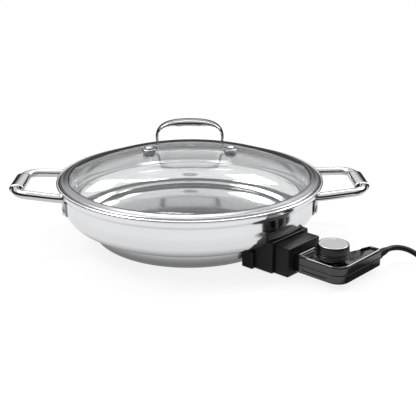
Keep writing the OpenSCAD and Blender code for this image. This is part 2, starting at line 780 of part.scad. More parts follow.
module contact_nose() color("#26262a") at_socket() difference() {
  translate([nose_u, -nose_w / 2, line_z - nose_h / 2]) cube([nose_end - nose_u, nose_w, nose_h]);
  for (s = [-1, 1]) bar_x(sleeve_d + 2 * fit, nose_u - over, nose_end + over, s * pin_gap / 2, line_z);
  bar_x(rod_d + 2 * fit, nose_u - over, nose_end + over, 0, line_z);
}

module contact_sleeves() color("#c9b27a") at_socket() for (s = [-1, 1]) difference() {
  bar_x(sleeve_d, nose_u + over, sleeve_end, s * pin_gap / 2, line_z);
  bar_x(pin_d + 2 * fit, nose_u, sleeve_end - over, s * pin_gap / 2, line_z);
}

module sensor_rod() color(steel) at_socket() bar_x(rod_d, nose_u - rod_l, block_u - gap, 0, line_z);

// Thermostat: a ceramic block that carries two spring leaves under the knob's shaft
leaf_z = shaft_z - 1.6;
leaf_w = 8;
leaf_t = 0.6;
block_u = nose_end + 6 + gap;
block_l = 8;
module switch_block() color("#d8d0bc") at_socket() difference() {
  translate([block_u, -leaf_w * 0.75, case_z + case_t]) cube([block_l, leaf_w * 1.5, shaft_z - case_z]);
  translate([block_u - over, -leaf_w / 2, leaf_z - gap]) cube([block_l + 2 * over, leaf_w, leaf_t + 2 * gap]);
}
module switch_leaves() color("#b98f4a") at_socket()
  translate([block_u + over, gap - leaf_w / 2, leaf_z]) cube([knob_x + leaf_w - block_u, leaf_w - 2 * gap, leaf_t]);

module shaft_bush() color("#c9b27a") at_socket() translate([knob_x, 0, 0]) difference() {
  union() {
    translate([0, 0, ceiling_z - 2]) cylinder(d = bush_flange_d, h = 2 - gap);
    translate([0, 0, ceiling_z - 2]) cylinder(d = bush_od, h = knob_z - ceiling_z + 1);
  }
  cylinder(d = shaft_d + 2 * fit, h = knob_top);
}

// Half section of the knob: a waist, a wide flange with a ring groove, and a slightly drawn-in top
module knob_section() difference() {
  r = knob_d / 2;
  groove_z = waist_h + flange_h;
  polygon(concat([[0, 0], [r - waist_in, 0], [r - waist_in, waist_h], [r - knob_edge, waist_h],
    [r, waist_h + knob_edge], [r, groove_z - knob_edge], [r - knob_edge, groove_z],
    [r - groove_in, groove_z], [r - groove_in, groove_z + groove_h], [r - knob_edge, groove_z + groove_h]],
    arc([r - drum_in - knob_edge, knob_h - knob_edge], knob_edge, 0, 90, 4), [[0, knob_h]]));
  translate([0, knob_h - disc_t]) square([disc_d / 2 + fit, disc_t + over]);
  translate([hub_d / 2, -over]) square([r - 4.6 - hub_d / 2, knob_h - roof_t + over]);
  translate([0, -over]) square([shaft_d / 2 + fit, knob_h - roof_t + over]);
  translate([0, -over]) square([hub_d, 3 + over]);
}

module dial_knob() color(black) at_socket() translate([knob_x, 0, knob_z]) rotate_extrude() knob_section();

module dial_disc() color("#b9bbbd") at_socket() translate([knob_x, 0, knob_top - disc_t])
  cylinder(d = disc_d, h = disc_t);

module dial_shaft() color("#c0a45c") at_socket() translate([knob_x, 0, shaft_z])
  cylinder(d = shaft_d, h = knob_top - roof_t - gap - shaft_z);

// Strain relief: a collar inside the arm's wall, a neck through it and a ribbed taper outside
module strain_relief() color(black) at_socket() translate([relief_u, arm_l, split_z]) rotate([-90, 0, 0]) {
  translate([0, 0, -case_t - collar_h]) cylinder(d = relief_collar, h = collar_h - gap);
  translate([0, 0, -case_t - 1]) cylinder(d = relief_neck, h = case_t + 2);
  translate([0, 0, gap]) cylinder(d1 = relief_d, d2 = relief_tip, h = relief_l - gap);
}

module cord_lead() color(black) at_socket() {
  size = [for (p = route) cord_d / 2];
  tube(route, size, size, 10);
}

// Middle line of the coil at turn angle a, counted from where the cord comes in
function coil_radius(a) = a < coil_in ? coil_r - coil_pitch * a / 360
  : a < coil_out ? coil_low - coil_pitch / 360 * ((a - coil_in) - pow(a - coil_in, 2) / 180)
  : coil_low + coil_pitch * (a - coil_out) / 360;
function coil_height(a) = coil_z + coil_pitch * blend(max(0, min(1, (a - coil_in) / 180)));
function coil_point(a) = [coil_c[0] + coil_radius(a) * sin(a), coil_c[1] - coil_radius(a) * cos(a), coil_height(a)];
coil_path = concat([lead_end],
  [for (i = [0 : coil_rings * coil_all / 360]) coil_point(i * 360 / coil_rings)], [tail]);
coil_clear = min([for (i = [0 : len(coil_path) - 1]) for (k = [i + coil_rings / 2 : len(coil_path) - 1])
  norm(coil_path[i] - coil_path[k])]) - cord_d;
echo(coil_least_gap = coil_clear);

module cord_coil() color(black) at_socket() {
  size = [for (p = coil_path) cord_d / 2];
  tube(coil_path, size, size, 6);
}

// The tie goes round the four runs of cord that lie two by two on the coil's pan side
tie_r = coil_r - coil_pitch * 0.75 - coil_pitch / 2;
tie_in = [coil_pitch + cord_d + 4 * slide, coil_pitch + cord_d + 2 * slide];
module cord_tie() color("#2f2f33") at_socket() translate([coil_c[0] - tie_r, coil_c[1], coil_z + coil_pitch / 2])
  rotate([90, 0, 0]) linear_extrude(height = tie_w, center = true) difference() {
    square([tie_in[0] + 2 * tie_t, tie_in[1] + 2 * tie_t], center = true);
    square(tie_in, center = true);
  }

module plug_body() color(black) at_socket() translate(tail) {
  rotate([0, 90, 0]) cylinder(d1 = cord_d + 1, d2 = plug_h * 0.6, h = plug_neck);
  hull() for (p = [[plug_neck - 1, 0.72], [plug_neck + 8, 1], [plug_neck + plug_l - 1, 0.94]])
    translate([p[0], 0, 0]) rotate([0, 90, 0]) linear_extrude(height = 1)
      round_box(plug_h * p[1], plug_w * p[1], plug_round);
}

// Rectangle with round corners
module round_box(w, h, r) hull() for (x = [-1, 1]) for (y = [-1, 1])
  translate([x * (w / 2 - r), y * (h / 2 - r)]) circle(r = r, $fn = 24);

module plug_blades() color("#c9b27a") at_socket() for (s = [-1, 1])
  translate(tail + [plug_neck + plug_l, s * blade_gap / 2 - blade_t / 2, -blade_w / 2])
    cube([blade_l, blade_t, blade_w]);

pan_shell();
heat_spreader();
heating_element();
terminal_pins();
pin_bushes();
sensor_well();
base_cover();
base_posts();
base_screws();
socket_housing();
socket_bosses();
socket_screws();
handle_left();
handle_right();
grip_left();
grip_right();
foot_plates_left();
foot_plates_right();
handle_rivets();
lid_glass();
lid_seal();
lid_band();
lid_handle();
lid_handle_pads();
lid_screws();
lid_washers();
lid_nuts();
steam_vent();
case_lower();
case_upper();
case_screws();
contact_nose();
contact_sleeves();
sensor_rod();
switch_block();
switch_leaves();
shaft_bush();
dial_knob();
dial_disc();
dial_shaft();
strain_relief();
cord_lead();
cord_coil();
cord_tie();
plug_body();
plug_blades();
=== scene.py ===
"""Electric skillet: a polished pan with loop handles, a glass lid and a plug-in heat control.

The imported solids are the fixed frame. Each visible solid is dressed with a smooth surface worked out
with numpy in millimetres, in the same frame, and gets a procedural material.
"""

import json

import bpy
import numpy as np
from mathutils import Matrix


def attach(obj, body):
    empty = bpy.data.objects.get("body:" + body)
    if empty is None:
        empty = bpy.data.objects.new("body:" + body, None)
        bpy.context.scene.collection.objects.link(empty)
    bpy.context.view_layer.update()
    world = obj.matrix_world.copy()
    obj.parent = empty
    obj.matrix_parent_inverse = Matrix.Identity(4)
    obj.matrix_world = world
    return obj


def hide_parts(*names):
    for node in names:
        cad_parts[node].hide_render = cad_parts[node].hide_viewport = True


bl_info = {
    "name": "Electric skillet",
    "version": (1, 0, 0),
    "blender": (4, 5, 0),
    "location": "3D View > Sidebar > Skillet",
    "description": "Builds an electric skillet with a glass lid and a plug-in heat control",
    "category": "Object",
}

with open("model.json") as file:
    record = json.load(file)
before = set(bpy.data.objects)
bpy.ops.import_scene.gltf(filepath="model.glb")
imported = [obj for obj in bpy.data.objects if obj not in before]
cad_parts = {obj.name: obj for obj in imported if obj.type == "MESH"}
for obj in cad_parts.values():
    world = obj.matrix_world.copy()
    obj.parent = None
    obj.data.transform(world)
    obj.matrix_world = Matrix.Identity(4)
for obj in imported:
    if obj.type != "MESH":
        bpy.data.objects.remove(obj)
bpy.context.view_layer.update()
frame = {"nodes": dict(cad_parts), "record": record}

MM = 0.001

# Sizes in millimetres that pieces share. Socket, control and cord are drawn on the socket's own line, which leaves the
# pan at SOCKET_AZ: U is the distance from the pan's axis along that line, V is across it
SOCKET_AZ = np.radians(-44)
PAN_R, BOWL_R, BOWL_Z, SHEET = 147.0, 29.2, 51.0, 1.2
BOWL_C, FLOOR_Z, CUP_R = PAN_R - BOWL_R, BOWL_Z - BOWL_R, 115.0
LEG_Y, RIVET_Z = 49.0, 47.0
ROOT_X, GRIP_X, GRIP_Z, BEND = 137.5, 195.5, 64.0, 18.5
GLASS_R, GLASS_Z, GLASS_TOP, GLASS_HALF = 146.0, 69.4, 101.0, 2.0
VENT_R, STRAP_X, STRAP_TOP = 124.0, 46.0, 139.0
PIN_Z, SOCKET_LOW = 11.8, 2.0
FRONT_U, FLANGE_U, FOOT_U = 165.0, 147.0, 124.0
KNOB_U, KNOB_GAP = 200.8, 3.5
CASE_U, CASE_V, CASE_FOOT = 165.3, 17.0, 8.0
CASE_TOP, TRAY, SPLIT = 25.5, 23.5, 15.75
EXIT_U, EXIT_V = 216.5, 78.0
CORD_R, CORD_Z, PITCH = 3.0, 4.0, 6.8
COIL_U, COIL_V, COIL_R, TIE_U = 292.0, 132.0, 39.0, 261.5
PLUG_U, PLUG_V = 322.0, 96.4

# Sizes of the stage in metres
FLOOR_R, FLOOR_DROP = 4.0, 0.0004
WALL_R, WALL_H = 3.9, 3.0


def linear(code):
    """An sRGB hex colour as linear RGBA."""
    s = np.array([int(code[i:i + 2], 16) for i in (1, 3, 5)]) / 255
    c = np.where(s <= 0.04045, s / 12.92, ((s + 0.055) / 1.055) ** 2.4)
    return (*c.tolist(), 1.0)


def swatch(name, description, code):
    """A colour that a user may change."""
    return bpy.props.FloatVectorProperty(
        name=name, description=description, subtype="COLOR", size=3, min=0, max=1, default=linear(code)[:3])


class SkilletSizes(bpy.types.PropertyGroup):
    """Sizes of the scene that a user may change."""

    lens: bpy.props.FloatProperty(
        name="Lens", description="Focal length of the camera", default=71.18, min=20, max=200,
        subtype="DISTANCE_CAMERA")
    facets: bpy.props.IntProperty(
        name="Facets", description="Steps round each turned piece", default=224, min=48, max=360)
    cord_step: bpy.props.FloatProperty(
        name="Cord step", description="Distance between the cord's rings", default=0.0025, min=0.001, max=0.01,
        unit="LENGTH")
    bevel: bpy.props.FloatProperty(
        name="Moulded edge", description="Rounding of the black mouldings' edges", default=0.0012, min=0.0002,
        max=0.003, unit="LENGTH")


class SkilletColours(bpy.types.PropertyGroup):
    """Colours of the main finishes."""

    steel: swatch("Steel", "Polished stainless steel", "#e2e3e4")
    black: swatch("Black plastic", "Moulded case and knob", "#0b0b0c")
    phenolic: swatch("Phenolic", "Heat-proof socket", "#0f0f10")
    cord: swatch("Cord", "Flexible PVC of the mains cord", "#0f0f10")
    floor: swatch("Floor", "Pale floor under the pan", "#f6f6f6")


def sizes():
    return bpy.context.scene.skillet_sizes


def colour(name):
    return (*getattr(bpy.context.scene.skillet_colours, name), 1.0)


# Shapes


def unit(v):
    """Vectors scaled to length one."""
    return v / np.linalg.norm(v, axis=-1, keepdims=True)


def step(x):
    """Smooth step from 0 to 1: x squared times (3 - 2x), held at both ends."""
    x = np.clip(x, 0, 1)
    return x * x * (3 - 2 * x)


def join(*parts):
    """Coordinates, given as arrays or single numbers, put together as points."""
    return np.stack(np.broadcast_arrays(*parts), -1)


def chain(*lines):
    """Lines of points, one after the other."""
    return np.concatenate(lines)


def arc(cx, cy, r, start, end, n):
    """Points of a circle round (cx, cy), from one angle to another in degrees."""
    t = np.radians(np.linspace(start, end, n))
    return join(cx + r * np.cos(t), cy + r * np.sin(t))


def soften(points, cut, closed=False, n=6):
    """A line with round corners: each corner becomes a quadratic curve that starts and ends cut away from it."""
    p = np.asarray(points, float)
    before, after = np.roll(p, 1, 0), np.roll(p, -1, 0)
    reach = np.minimum(np.linalg.norm(before - p, axis=1), np.linalg.norm(after - p, axis=1)) / 2
    d = np.minimum(cut, reach)[:, None]
    a, b = p + unit(before - p) * d, p + unit(after - p) * d
    t = np.linspace(0, 1, n)[:, None, None]
    bent = ((1 - t) ** 2 * a + 2 * t * (1 - t) * p + t * t * b).transpose(1, 0, 2).reshape(-1, p.shape[1])
    return bent if closed else chain(p[:1], bent[n:-n], p[-1:])


def evenly(points, count, closed=False):
    """The same line with points at equal distances along it."""
    p = chain(points, points[:1]) if closed else np.asarray(points)
    s = chain([0], np.cumsum(np.linalg.norm(np.diff(p, axis=0), axis=1)))
    at = np.linspace(0, s[-1], count, endpoint=not closed)
    return join(*[np.interp(at, s, axis) for axis in p.T])


def spline(points, gap):
    """A Catmull-Rom curve through points, with rings every gap along it."""
    p = chain(2 * points[:1] - points[1:2], points, 2 * points[-1:] - points[-2:-1])
    t = np.linspace(0, 1, 12, endpoint=False)[:, None, None]
    a, b, c, d = p[:-3], p[1:-2], p[2:-1], p[3:]
    q = 0.5 * (2 * b + (c - a) * t + (2 * a - 5 * b + 4 * c - d) * t ** 2 + (3 * b - a - 3 * c + d) * t ** 3)
    q = chain(q.transpose(1, 0, 2).reshape(-1, 3), points[-1:])
    length = np.linalg.norm(np.diff(q, axis=0), axis=1).sum()
    return evenly(q, int(length / gap) + 2)


def oval(wide, high, n, power=2.0):
    """Superellipse: half sizes wide and high times cosine and sine, each raised to 2 / power with its sign kept."""
    t = np.linspace(0, 2 * np.pi, n, endpoint=False)
    root = 2 / np.asarray(power)[..., None]
    return join(*[np.sign(w) * np.abs(w) ** root * np.asarray(half)[..., None]
                  for w, half in ((np.cos(t), wide), (np.sin(t), high))])


def revolve(profile, n=None):
    """A profile (r, z) turned round the axis: x = r cos t, y = r sin t."""
    t = np.linspace(0, 2 * np.pi, n or sizes().facets, endpoint=False)
    r, z = profile[:, :1], profile[:, 1:]
    return join(r * np.cos(t), r * np.sin(t), z)


def along(path, section, side=None):
    """A section carried along a path: its first size runs level (or along side), its second square to both."""
    t = unit(np.gradient(path, axis=0))
    s = unit(np.cross([0.0, 0.0, 1.0], t)) if side is None else np.broadcast_to(np.asarray(side, float), t.shape)
    up = np.cross(t, s)
    section = np.broadcast_to(section, (len(path), *section.shape[-2:]))
    return path[:, None] + section[..., :1] * s[:, None] + section[..., 1:] * up[:, None]


def turned(grid, angle=SOCKET_AZ):
    """Points turned round the pan's axis, such as from the socket's own line to the frame."""
    c, s = np.cos(angle), np.sin(angle)
    return grid @ np.array([[c, s, 0], [-s, c, 0], [0, 0, 1]])


def skin(grid, loop=False, caps=True):
    """Points and faces between the rows of a grid whose columns close, with flat ends, turned to face outwards."""
    rows, cols, _ = grid.shape
    i, j = np.arange(rows if loop else rows - 1)[:, None], np.arange(cols)[None]
    k, m = (i + 1) % rows, (j + 1) % cols
    quads = join(i * cols + j, i * cols + m, k * cols + m, k * cols + j).reshape(-1, 4)
    ends = [] if loop or not caps else [np.arange(cols)[::-1], np.arange(cols) + (rows - 1) * cols]
    # Six times the volume inside: where it is below zero, the faces point inwards and are turned
    p = grid.reshape(-1, 3)
    a, b, c, d = (p[quads[:, n]] for n in range(4))
    volume = (a * np.cross(b, c)).sum() + (a * np.cross(c, d)).sum()
    for e in ends:
        q = p[e]
        volume += (q.mean(0) * np.cross(q, np.roll(q, -1, 0))).sum()
    faces = [quads, *[e[None] for e in ends]]
    return p, [f[:, ::-1] for f in faces] if volume < 0 else faces


def placed(name, points, faces, material):
    """A new object at the origin, made of those points and faces."""
    mesh = bpy.data.meshes.new(name)
    mesh.from_pydata(points.tolist(), [], faces)
    mesh.materials.append(material)
    made = bpy.data.objects.new(name, mesh)
    bpy.context.scene.collection.objects.link(made)
    return made


def piece(name, skins, body, material, replaces=(), sharp=38.0):
    """One object of the skillet from one or more skins, smooth except at edges sharper than the angle."""
    starts = np.cumsum([0] + [len(p) for p, _ in skins])
    faces = [f for (_, groups), first in zip(skins, starts) for g in groups for f in (g + first).tolist()]
    made = placed(name, chain(*[p for p, _ in skins]) * MM, faces, finish(material))
    made.data.polygons.foreach_set("use_smooth", np.ones(len(faces), bool))
    made.data.set_sharp_from_angle(angle=np.radians(sharp))
    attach(made, body)
    if replaces:
        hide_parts(*replaces)
    return made


# Materials


def add(tree, kind, values=None, links=None):
    """Adds one node: values go to inputs, by name or number, or to the node's own settings. Links feed inputs, each
    from a socket or from a node's first output."""
    node = tree.nodes.new("ShaderNode" + kind)
    for key, value in (values or {}).items():
        if isinstance(key, int) or key in node.inputs:
            node.inputs[key].default_value = value
        else:
            setattr(node, key, value)
    for key, source in (links or {}).items():
        socket = source.outputs[0] if isinstance(source, bpy.types.Node) else source
        tree.links.new(socket, node.inputs[key])
    return node


def fresh(made):
    """The empty node tree of a new material or world."""
    made.use_nodes = True
    made.node_tree.nodes.clear()
    return made.node_tree


def shaded(name, values):
    """A new material with one Principled shader: the material, its tree, the shader and the Object coordinates."""
    made = bpy.data.materials.new(name)
    tree = fresh(made)
    shader = add(tree, "BsdfPrincipled", values)
    add(tree, "OutputMaterial", links={"Surface": shader})
    return made, tree, shader, add(tree, "TexCoord").outputs["Object"]


def follow(tree, shader, value, rough=None, tint=None, bump=0.0, depth=0.0002):
    """Lets one value from 0 to 1 drive the shader: roughness and colour between two ends, and the surface's height."""
    if rough:
        spread = add(tree, "MapRange", {"From Min": 0.3, "From Max": 0.7, "To Min": rough[0], "To Max": rough[1]},
                     {"Value": value})
        tree.links.new(spread.outputs[0], shader.inputs["Roughness"])
    if tint:
        mix = add(tree, "Mix", {"data_type": "RGBA", 6: tint[0], 7: tint[1]}, {0: value})
        tree.links.new(mix.outputs[2], shader.inputs["Base Color"])
    if bump:
        relief = add(tree, "Bump", {"Strength": bump, "Distance": depth}, {"Height": value})
        tree.links.new(relief.outputs[0], shader.inputs["Normal"])


def rings(tree, where, centre):
    """Distance from an upright axis and height, so that a pattern runs in rings round it."""
    moved = add(tree, "Mapping", {"Location": [-v for v in centre]}, {"Vector": where})
    flat = add(tree, "VectorMath", {"operation": "MULTIPLY", 1: (1, 1, 0)}, {0: moved})
    away = add(tree, "VectorMath", {"operation": "LENGTH"}, {0: flat})
    parts = add(tree, "SeparateXYZ", links={0: moved})
    return add(tree, "CombineXYZ", links={0: away.outputs["Value"], 1: parts.outputs[2]})


def grained(name, values, scale, rough, tint=None, bump=0.0, depth=0.0002, centre=None, stretch=None, cloud=None):
    """A new material whose grain, one noise, drives its shader: even, in rings round a centre, or stretched. The scale
    is how many grains lie in a metre, so that 1000 is a grain of 1 mm. A cloud is a second tint, in large patches."""
    made, tree, shader, where = shaded(name, values)
    grain = rings(tree, where, centre) if centre else where
    if stretch:
        grain = add(tree, "Mapping", {"Scale": stretch}, {"Vector": where})
    noise = add(tree, "TexNoise", {"Scale": scale, "Detail": 3.0, "Roughness": 0.55}, {"Vector": grain})
    follow(tree, shader, noise, rough, tint, bump, depth)
    if cloud:
        patches = add(tree, "TexNoise", {"Scale": 16.0, "Detail": 2.0}, {"Vector": where})
        follow(tree, shader, patches, tint=cloud)
    return made


def shade(c, k):
    """A colour made lighter or darker by the factor k."""
    return (*[min(1.0, v * k) for v in c[:3]], 1.0)


def shades(c, low, high):
    """Two tones of one colour."""
    return shade(c, low), shade(c, high)


def inks(*codes):
    """Several sRGB hex colours as linear RGBA."""
    return [linear(code) for code in codes]


def metal(base, share=1.0):
    """Shader values of a metal."""
    return {"Base Color": base, "Metallic": share}


def resin(base, ior, level=0.5):
    """Shader values of a plastic, a rubber or a ceramic."""
    return {"Base Color": base, "IOR": ior, "Specular IOR Level": level}


PAN_AXIS = (0.0, 0.0, 0.0)
KNOB_AXIS = (KNOB_U * np.cos(SOCKET_AZ) * MM, KNOB_U * np.sin(SOCKET_AZ) * MM, 0.0)


def drawn_stainless(name):
    """Stainless steel, deep drawn and machine polished: a soft mirror with faint rings, here 1.5 mm apart so that
    they show, and slow clouds of 60 mm."""
    steel = colour("steel")
    return grained(name, metal(steel), 650, (0.07, 0.11), None, 0.03, 0.0001, PAN_AXIS, cloud=shades(steel, 0.99, 1.08))


def base_stainless(name):
    """Stainless steel cup, spun and left satin, with rings of about 2 mm from the spinning. It is duller than the wall:
    rougher, and painted darker at 0.7 of the steel as painted shade for the floor's shadow that it mirrors.
    """
    steel = colour("steel")
    return grained(name, metal(shade(steel, 0.7)), 500, (0.2, 0.3), shades(steel, 0.65, 0.75), 0.06, 0.00015, PAN_AXIS)


def buffed_rod(name):
    """Stainless rod and strip, buffed to a mirror: greyer than the pan, with a few smears from hands."""
    steel = shade(colour("steel"), 0.8)
    return grained(name, metal(steel), 70, (0.05, 0.1), shades(steel, 0.95, 1.0))


def punched_stainless_painted_shade(name):
    """Stainless strip, punched and tumbled: a softer mirror than the rods, with scuffs of about 2.5 mm. It is greyer
    than the rods because its colour is painted down to 0.42 of the steel: painted shade, so that the foot plates and
    the lid's strap mirror the white room as dark grey.
    """
    steel = shade(colour("steel"), 0.42)
    return grained(name, metal(steel), 400, (0.1, 0.18), shades(steel, 0.9, 1.1), 0.04)


def brushed_band_painted_shade(name):
    """Stainless strip of the lid's band, rolled to a channel and brushed along it, with a soft, wide shine. Its grey is
    painted shade: the colour is painted down to 0.42 of the steel, so that the band mirrors the white room as mid grey.
    """
    steel = shade(colour("steel"), 0.42)
    return grained(name, metal(steel), 500, (0.22, 0.32), shades(steel, 0.9, 1.1), 0.05, 0.0001, PAN_AXIS)


def satin_steel(name):
    """Turned steel fasteners and tubes: satin, with fine tool marks about 0.8 mm apart."""
    return grained(name, metal(linear("#b4b6b8")), 1200, (0.22, 0.34), inks("#a5a7a9", "#bdbfc1"), 0.08)


def rolled_aluminium(name):
    """Aluminium plate as rolled: pale, with streaks about 1 mm wide and long in one direction."""
    return grained(name, metal(linear("#c9cbcd")), 60, (0.3, 0.42), inks("#bfc1c3", "#d2d4d5"), 0.08,
                   stretch=(1, 14, 14))


def scaled_sheath(name):
    """Nickel-alloy sheath of the element: browned by heat, dull, with patches of about 4 mm."""
    return grained(name, metal(linear("#5f5a54"), 0.8), 220, (0.4, 0.6), inks("#4a4541", "#746c63"), 0.15)


def plated_brass(name):
    """Nickel-washed brass contacts: pale yellow, half bright."""
    return grained(name, metal(linear("#cdbf95")), 300, (0.18, 0.3), inks("#c3b283", "#d8cca6"), 0.05)


def bisque_ceramic(name):
    """Unglazed ceramic insulators: off white, dry, with a grain of about 0.5 mm."""
    return grained(name, resin(linear("#e9e2d3"), 1.55), 2000, (0.65, 0.85), inks("#e2dac9", "#efe9dd"), 0.15)


def moulded_phenolic(name):
    """Phenolic resin, pressed in a mould: black with a half gloss and a fine flow grain of about 0.8 mm."""
    black = colour("phenolic")
    return grained(name, resin(black, 1.55, 0.2), 1200, (0.34, 0.46), shades(black, 0.8, 1.25), 0.1, 0.0001)


def gloss_abs(name):
    """Gloss-moulded ABS of the case: deep black, with a slight waviness a few millimetres long."""
    black = colour("black")
    return grained(name, resin(black, 1.54, 0.75), 320, (0.07, 0.12), shades(black, 0.85, 1.2), 0.02)


def etched_abs(name):
    """ABS of the knob from an etched tool: dead black, with soft lines of light on its rings."""
    black = colour("black")
    return grained(name, resin(black, 1.54, 0.35), 900, (0.16, 0.24), shades(black, 0.7, 1.1), 0.03, 0.0001)


def extruded_pvc(name):
    """Flexible PVC of the cord, relief and plug: black, half matt, with a faint extruded skin."""
    black = colour("cord")
    return grained(name, resin(black, 1.53, 0.2), 500, (0.36, 0.5), shades(black, 0.8, 1.3), 0.06, 0.0001)


def silicone_rubber(name):
    """Silicone rubber of the lid's seal: dark grey and matt."""
    return grained(name, resin(linear("#48484a"), 1.41), 700, (0.5, 0.65), inks("#3e3e40", "#535355"), 0.08)


def clear_silicone(name):
    """Milky silicone rubber of the lid handle's pads and washers: pale grey and soft looking, hidden by the feet."""
    values = {**resin(linear("#b9bbbc"), 1.41), "Transmission Weight": 0.4}
    return grained(name, values, 700, (0.35, 0.5), inks("#aeb0b1", "#c2c4c5"), 0.05)


def tempered_glass(name):
    """Tempered glass, pressed and polished: clear, with the faint grey green of thick glass and a slow waviness."""
    made, tree, shader, where = shaded(name, {
        "Base Color": linear("#fafcfb"), "Transmission Weight": 1.0, "IOR": 1.46, "Roughness": 0.0})
    wave = add(tree, "TexNoise", {"Scale": 18.0, "Detail": 1.0}, {"Vector": where})
    follow(tree, shader, wave, bump=0.02, depth=0.0003)
    return made


def turned_aluminium(name):
    """Aluminium disc turned on a lathe: fine rings round the knob's axis, here 0.7 mm apart so that they show."""
    return grained(name, metal(linear("#c2c4c6")), 1500, (0.26, 0.4), inks("#aeb0b2", "#cfd1d2"), 0.12, 0.0001,
                   KNOB_AXIS)


def woven_tie(name):
    """Woven hook-and-loop strip: black threads about 0.9 mm apart, crossing."""
    made, tree, shader, where = shaded(name, {"Base Color": linear("#202023"), "Roughness": 0.85})
    warp, weft = (add(tree, "TexWave", {"bands_direction": way, "Scale": 175.0, "Distortion": 0.6},
                      {"Vector": where}).outputs["Fac"] for way in ("X", "Z"))
    both = add(tree, "Math", {"operation": "MULTIPLY"}, {0: warp, 1: weft})
    follow(tree, shader, both, tint=inks("#161618", "#34343a"), bump=0.4, depth=0.0003)
    return made


FINISHES = {f.__name__: f for f in (
    drawn_stainless, base_stainless, buffed_rod, punched_stainless_painted_shade, brushed_band_painted_shade, satin_steel, rolled_aluminium,
    scaled_sheath, plated_brass, bisque_ceramic, moulded_phenolic, gloss_abs, etched_abs, extruded_pvc,
    silicone_rubber, clear_silicone, tempered_glass, turned_aluminium, woven_tie)}


def finish(name):
    """The material of that name, made once."""
    return bpy.data.materials.get(name) or FINISHES[name](name)


# Stage


def area_light(name, place, aim, size, watts):
    """A soft square lamp that looks at a point."""
    lamp = bpy.data.lights.new(name, "AREA")
    lamp.shape, lamp.size, lamp.size_y, lamp.energy = "RECTANGLE", size[0], size[1], watts
    made = bpy.data.objects.new(name, lamp)
    made.location = place
    back = unit(np.subtract(place, aim))
    right = unit(np.cross([0.0, 0.0, 1.0], back))
    made.rotation_euler = Matrix(join(right, np.cross(back, right), back).tolist()).to_euler()
    bpy.context.scene.collection.objects.link(made)


def graded_glow(tree, value, stops):
    """A glow whose strength follows a value through (value, strength) stops, the last of them held."""
    made = add(tree, "ValToRGB", links={0: value})
    points = made.color_ramp.elements
    for place, _ in stops[2:]:
        points.new(place)
    for point, (place, strength) in zip(points, stops):
        point.position, point.color = place, (strength, strength, strength, 1.0)
    return add(tree, "Emission", links={0: made})


def seen_rays(tree):
    """1 for rays that show the surroundings to the eye: straight, mirrored or through glass."""
    path = add(tree, "LightPath")
    gloss = add(tree, "Math", {"operation": "MAXIMUM"},
                {0: path.outputs["Is Camera Ray"], 1: path.outputs["Is Glossy Ray"]})
    return add(tree, "Math", {"operation": "MAXIMUM"}, {0: gloss, 1: path.outputs["Is Transmission Ray"]})


def white_room():
    """The world: white to the eye, in mirrors and through glass, and a dimmer, even light."""
    world = bpy.data.worlds.new("white_room")
    tree = fresh(world)
    dim, white = (add(tree, "Background", {"Color": (1, 1, 1, 1), "Strength": s}) for s in (0.55, 1.0))
    mix = add(tree, "MixShader", links={0: seen_rays(tree), 1: dim, 2: white})
    add(tree, "OutputWorld", links={0: mix})
    return world


def pale_floor():
    """Matt white floor: it glows to the eye, so that it is white and still takes the shadow. In mirrors it carries
    painted
    shade: grey close to the base as a painted contact shadow, bright where the wall mirrors it, and painted dark from
    0.4 m outwards and round the control."""
    made = bpy.data.materials.new("pale_floor")
    tree = fresh(made)
    where = add(tree, "TexCoord").outputs["Object"]
    matt = add(tree, "BsdfDiffuse", {"Color": colour("floor")})
    glow = add(tree, "Emission", {"Color": (1, 1, 1, 1), "Strength": 1.0})
    away = add(tree, "VectorMath", {"operation": "LENGTH"}, {0: where}).outputs["Value"]
    straight = add(tree, "MapRange", {"From Min": 0.3, "From Max": 0.9, "To Min": 0.84, "To Max": 1.0},
                   {"Value": away})
    share = add(tree, "Math", {"operation": "MULTIPLY"}, {0: straight, 1: seen_rays(tree)})
    mix = add(tree, "MixShader", links={0: share, 1: matt, 2: glow})
    # Painted reflection: grey near the base is a painted contact shadow, and beyond 0.4 m the floor is painted dark in
    # mirrors
    mirrored = graded_glow(tree, away, [(0.0, 0.25), (0.115, 0.33), (0.15, 0.85), (0.33, 1.0), (0.4, 0.06)])
    # Painted shade in mirrors: round the control the floor is dark to glossy rays, so that the black case mirrors no
    # white
    beside = add(tree, "VectorMath", {"operation": "DISTANCE", 1: (0.175, -0.125, 0.0)}, {0: where})
    near = add(tree, "MapRange", {"From Min": 0.045, "From Max": 0.065, "To Min": 0.08, "To Max": 1.0},
               {"Value": beside.outputs["Value"]})
    tree.links.new(near.outputs[0], mirrored.inputs["Strength"])
    gloss = add(tree, "LightPath").outputs["Is Glossy Ray"]
    both = add(tree, "MixShader", links={0: gloss, 1: mix, 2: mirrored})
    add(tree, "OutputMaterial", links={0: both})
    return made


def graded_wall():
    """Glowing wall: dark at its foot and white above, with more dark at the front, it draws the black lines on
    polished rods. The glow follows height / WALL_H, less up to 0.4 at the front."""
    made = bpy.data.materials.new("graded_wall")
    tree = fresh(made)
    spot = add(tree, "SeparateXYZ", links={0: add(tree, "TexCoord").outputs["Object"]})
    share = add(tree, "Math", {"operation": "DIVIDE", 1: WALL_H}, {0: spot.outputs[2]})
    front = add(tree, "MapRange", {"From Min": -1.5, "From Max": 1.5, "To Min": 0.4, "To Max": 0.0},
                {"Value": spot.outputs[1]})
    part = add(tree, "Math", {"operation": "SUBTRACT"}, {0: share, 1: front})
    glow = graded_glow(tree, part, [(0.0, 0.02), (0.34, 0.03), (0.47, 1.0)])
    add(tree, "OutputMaterial", links={0: glow})
    return made


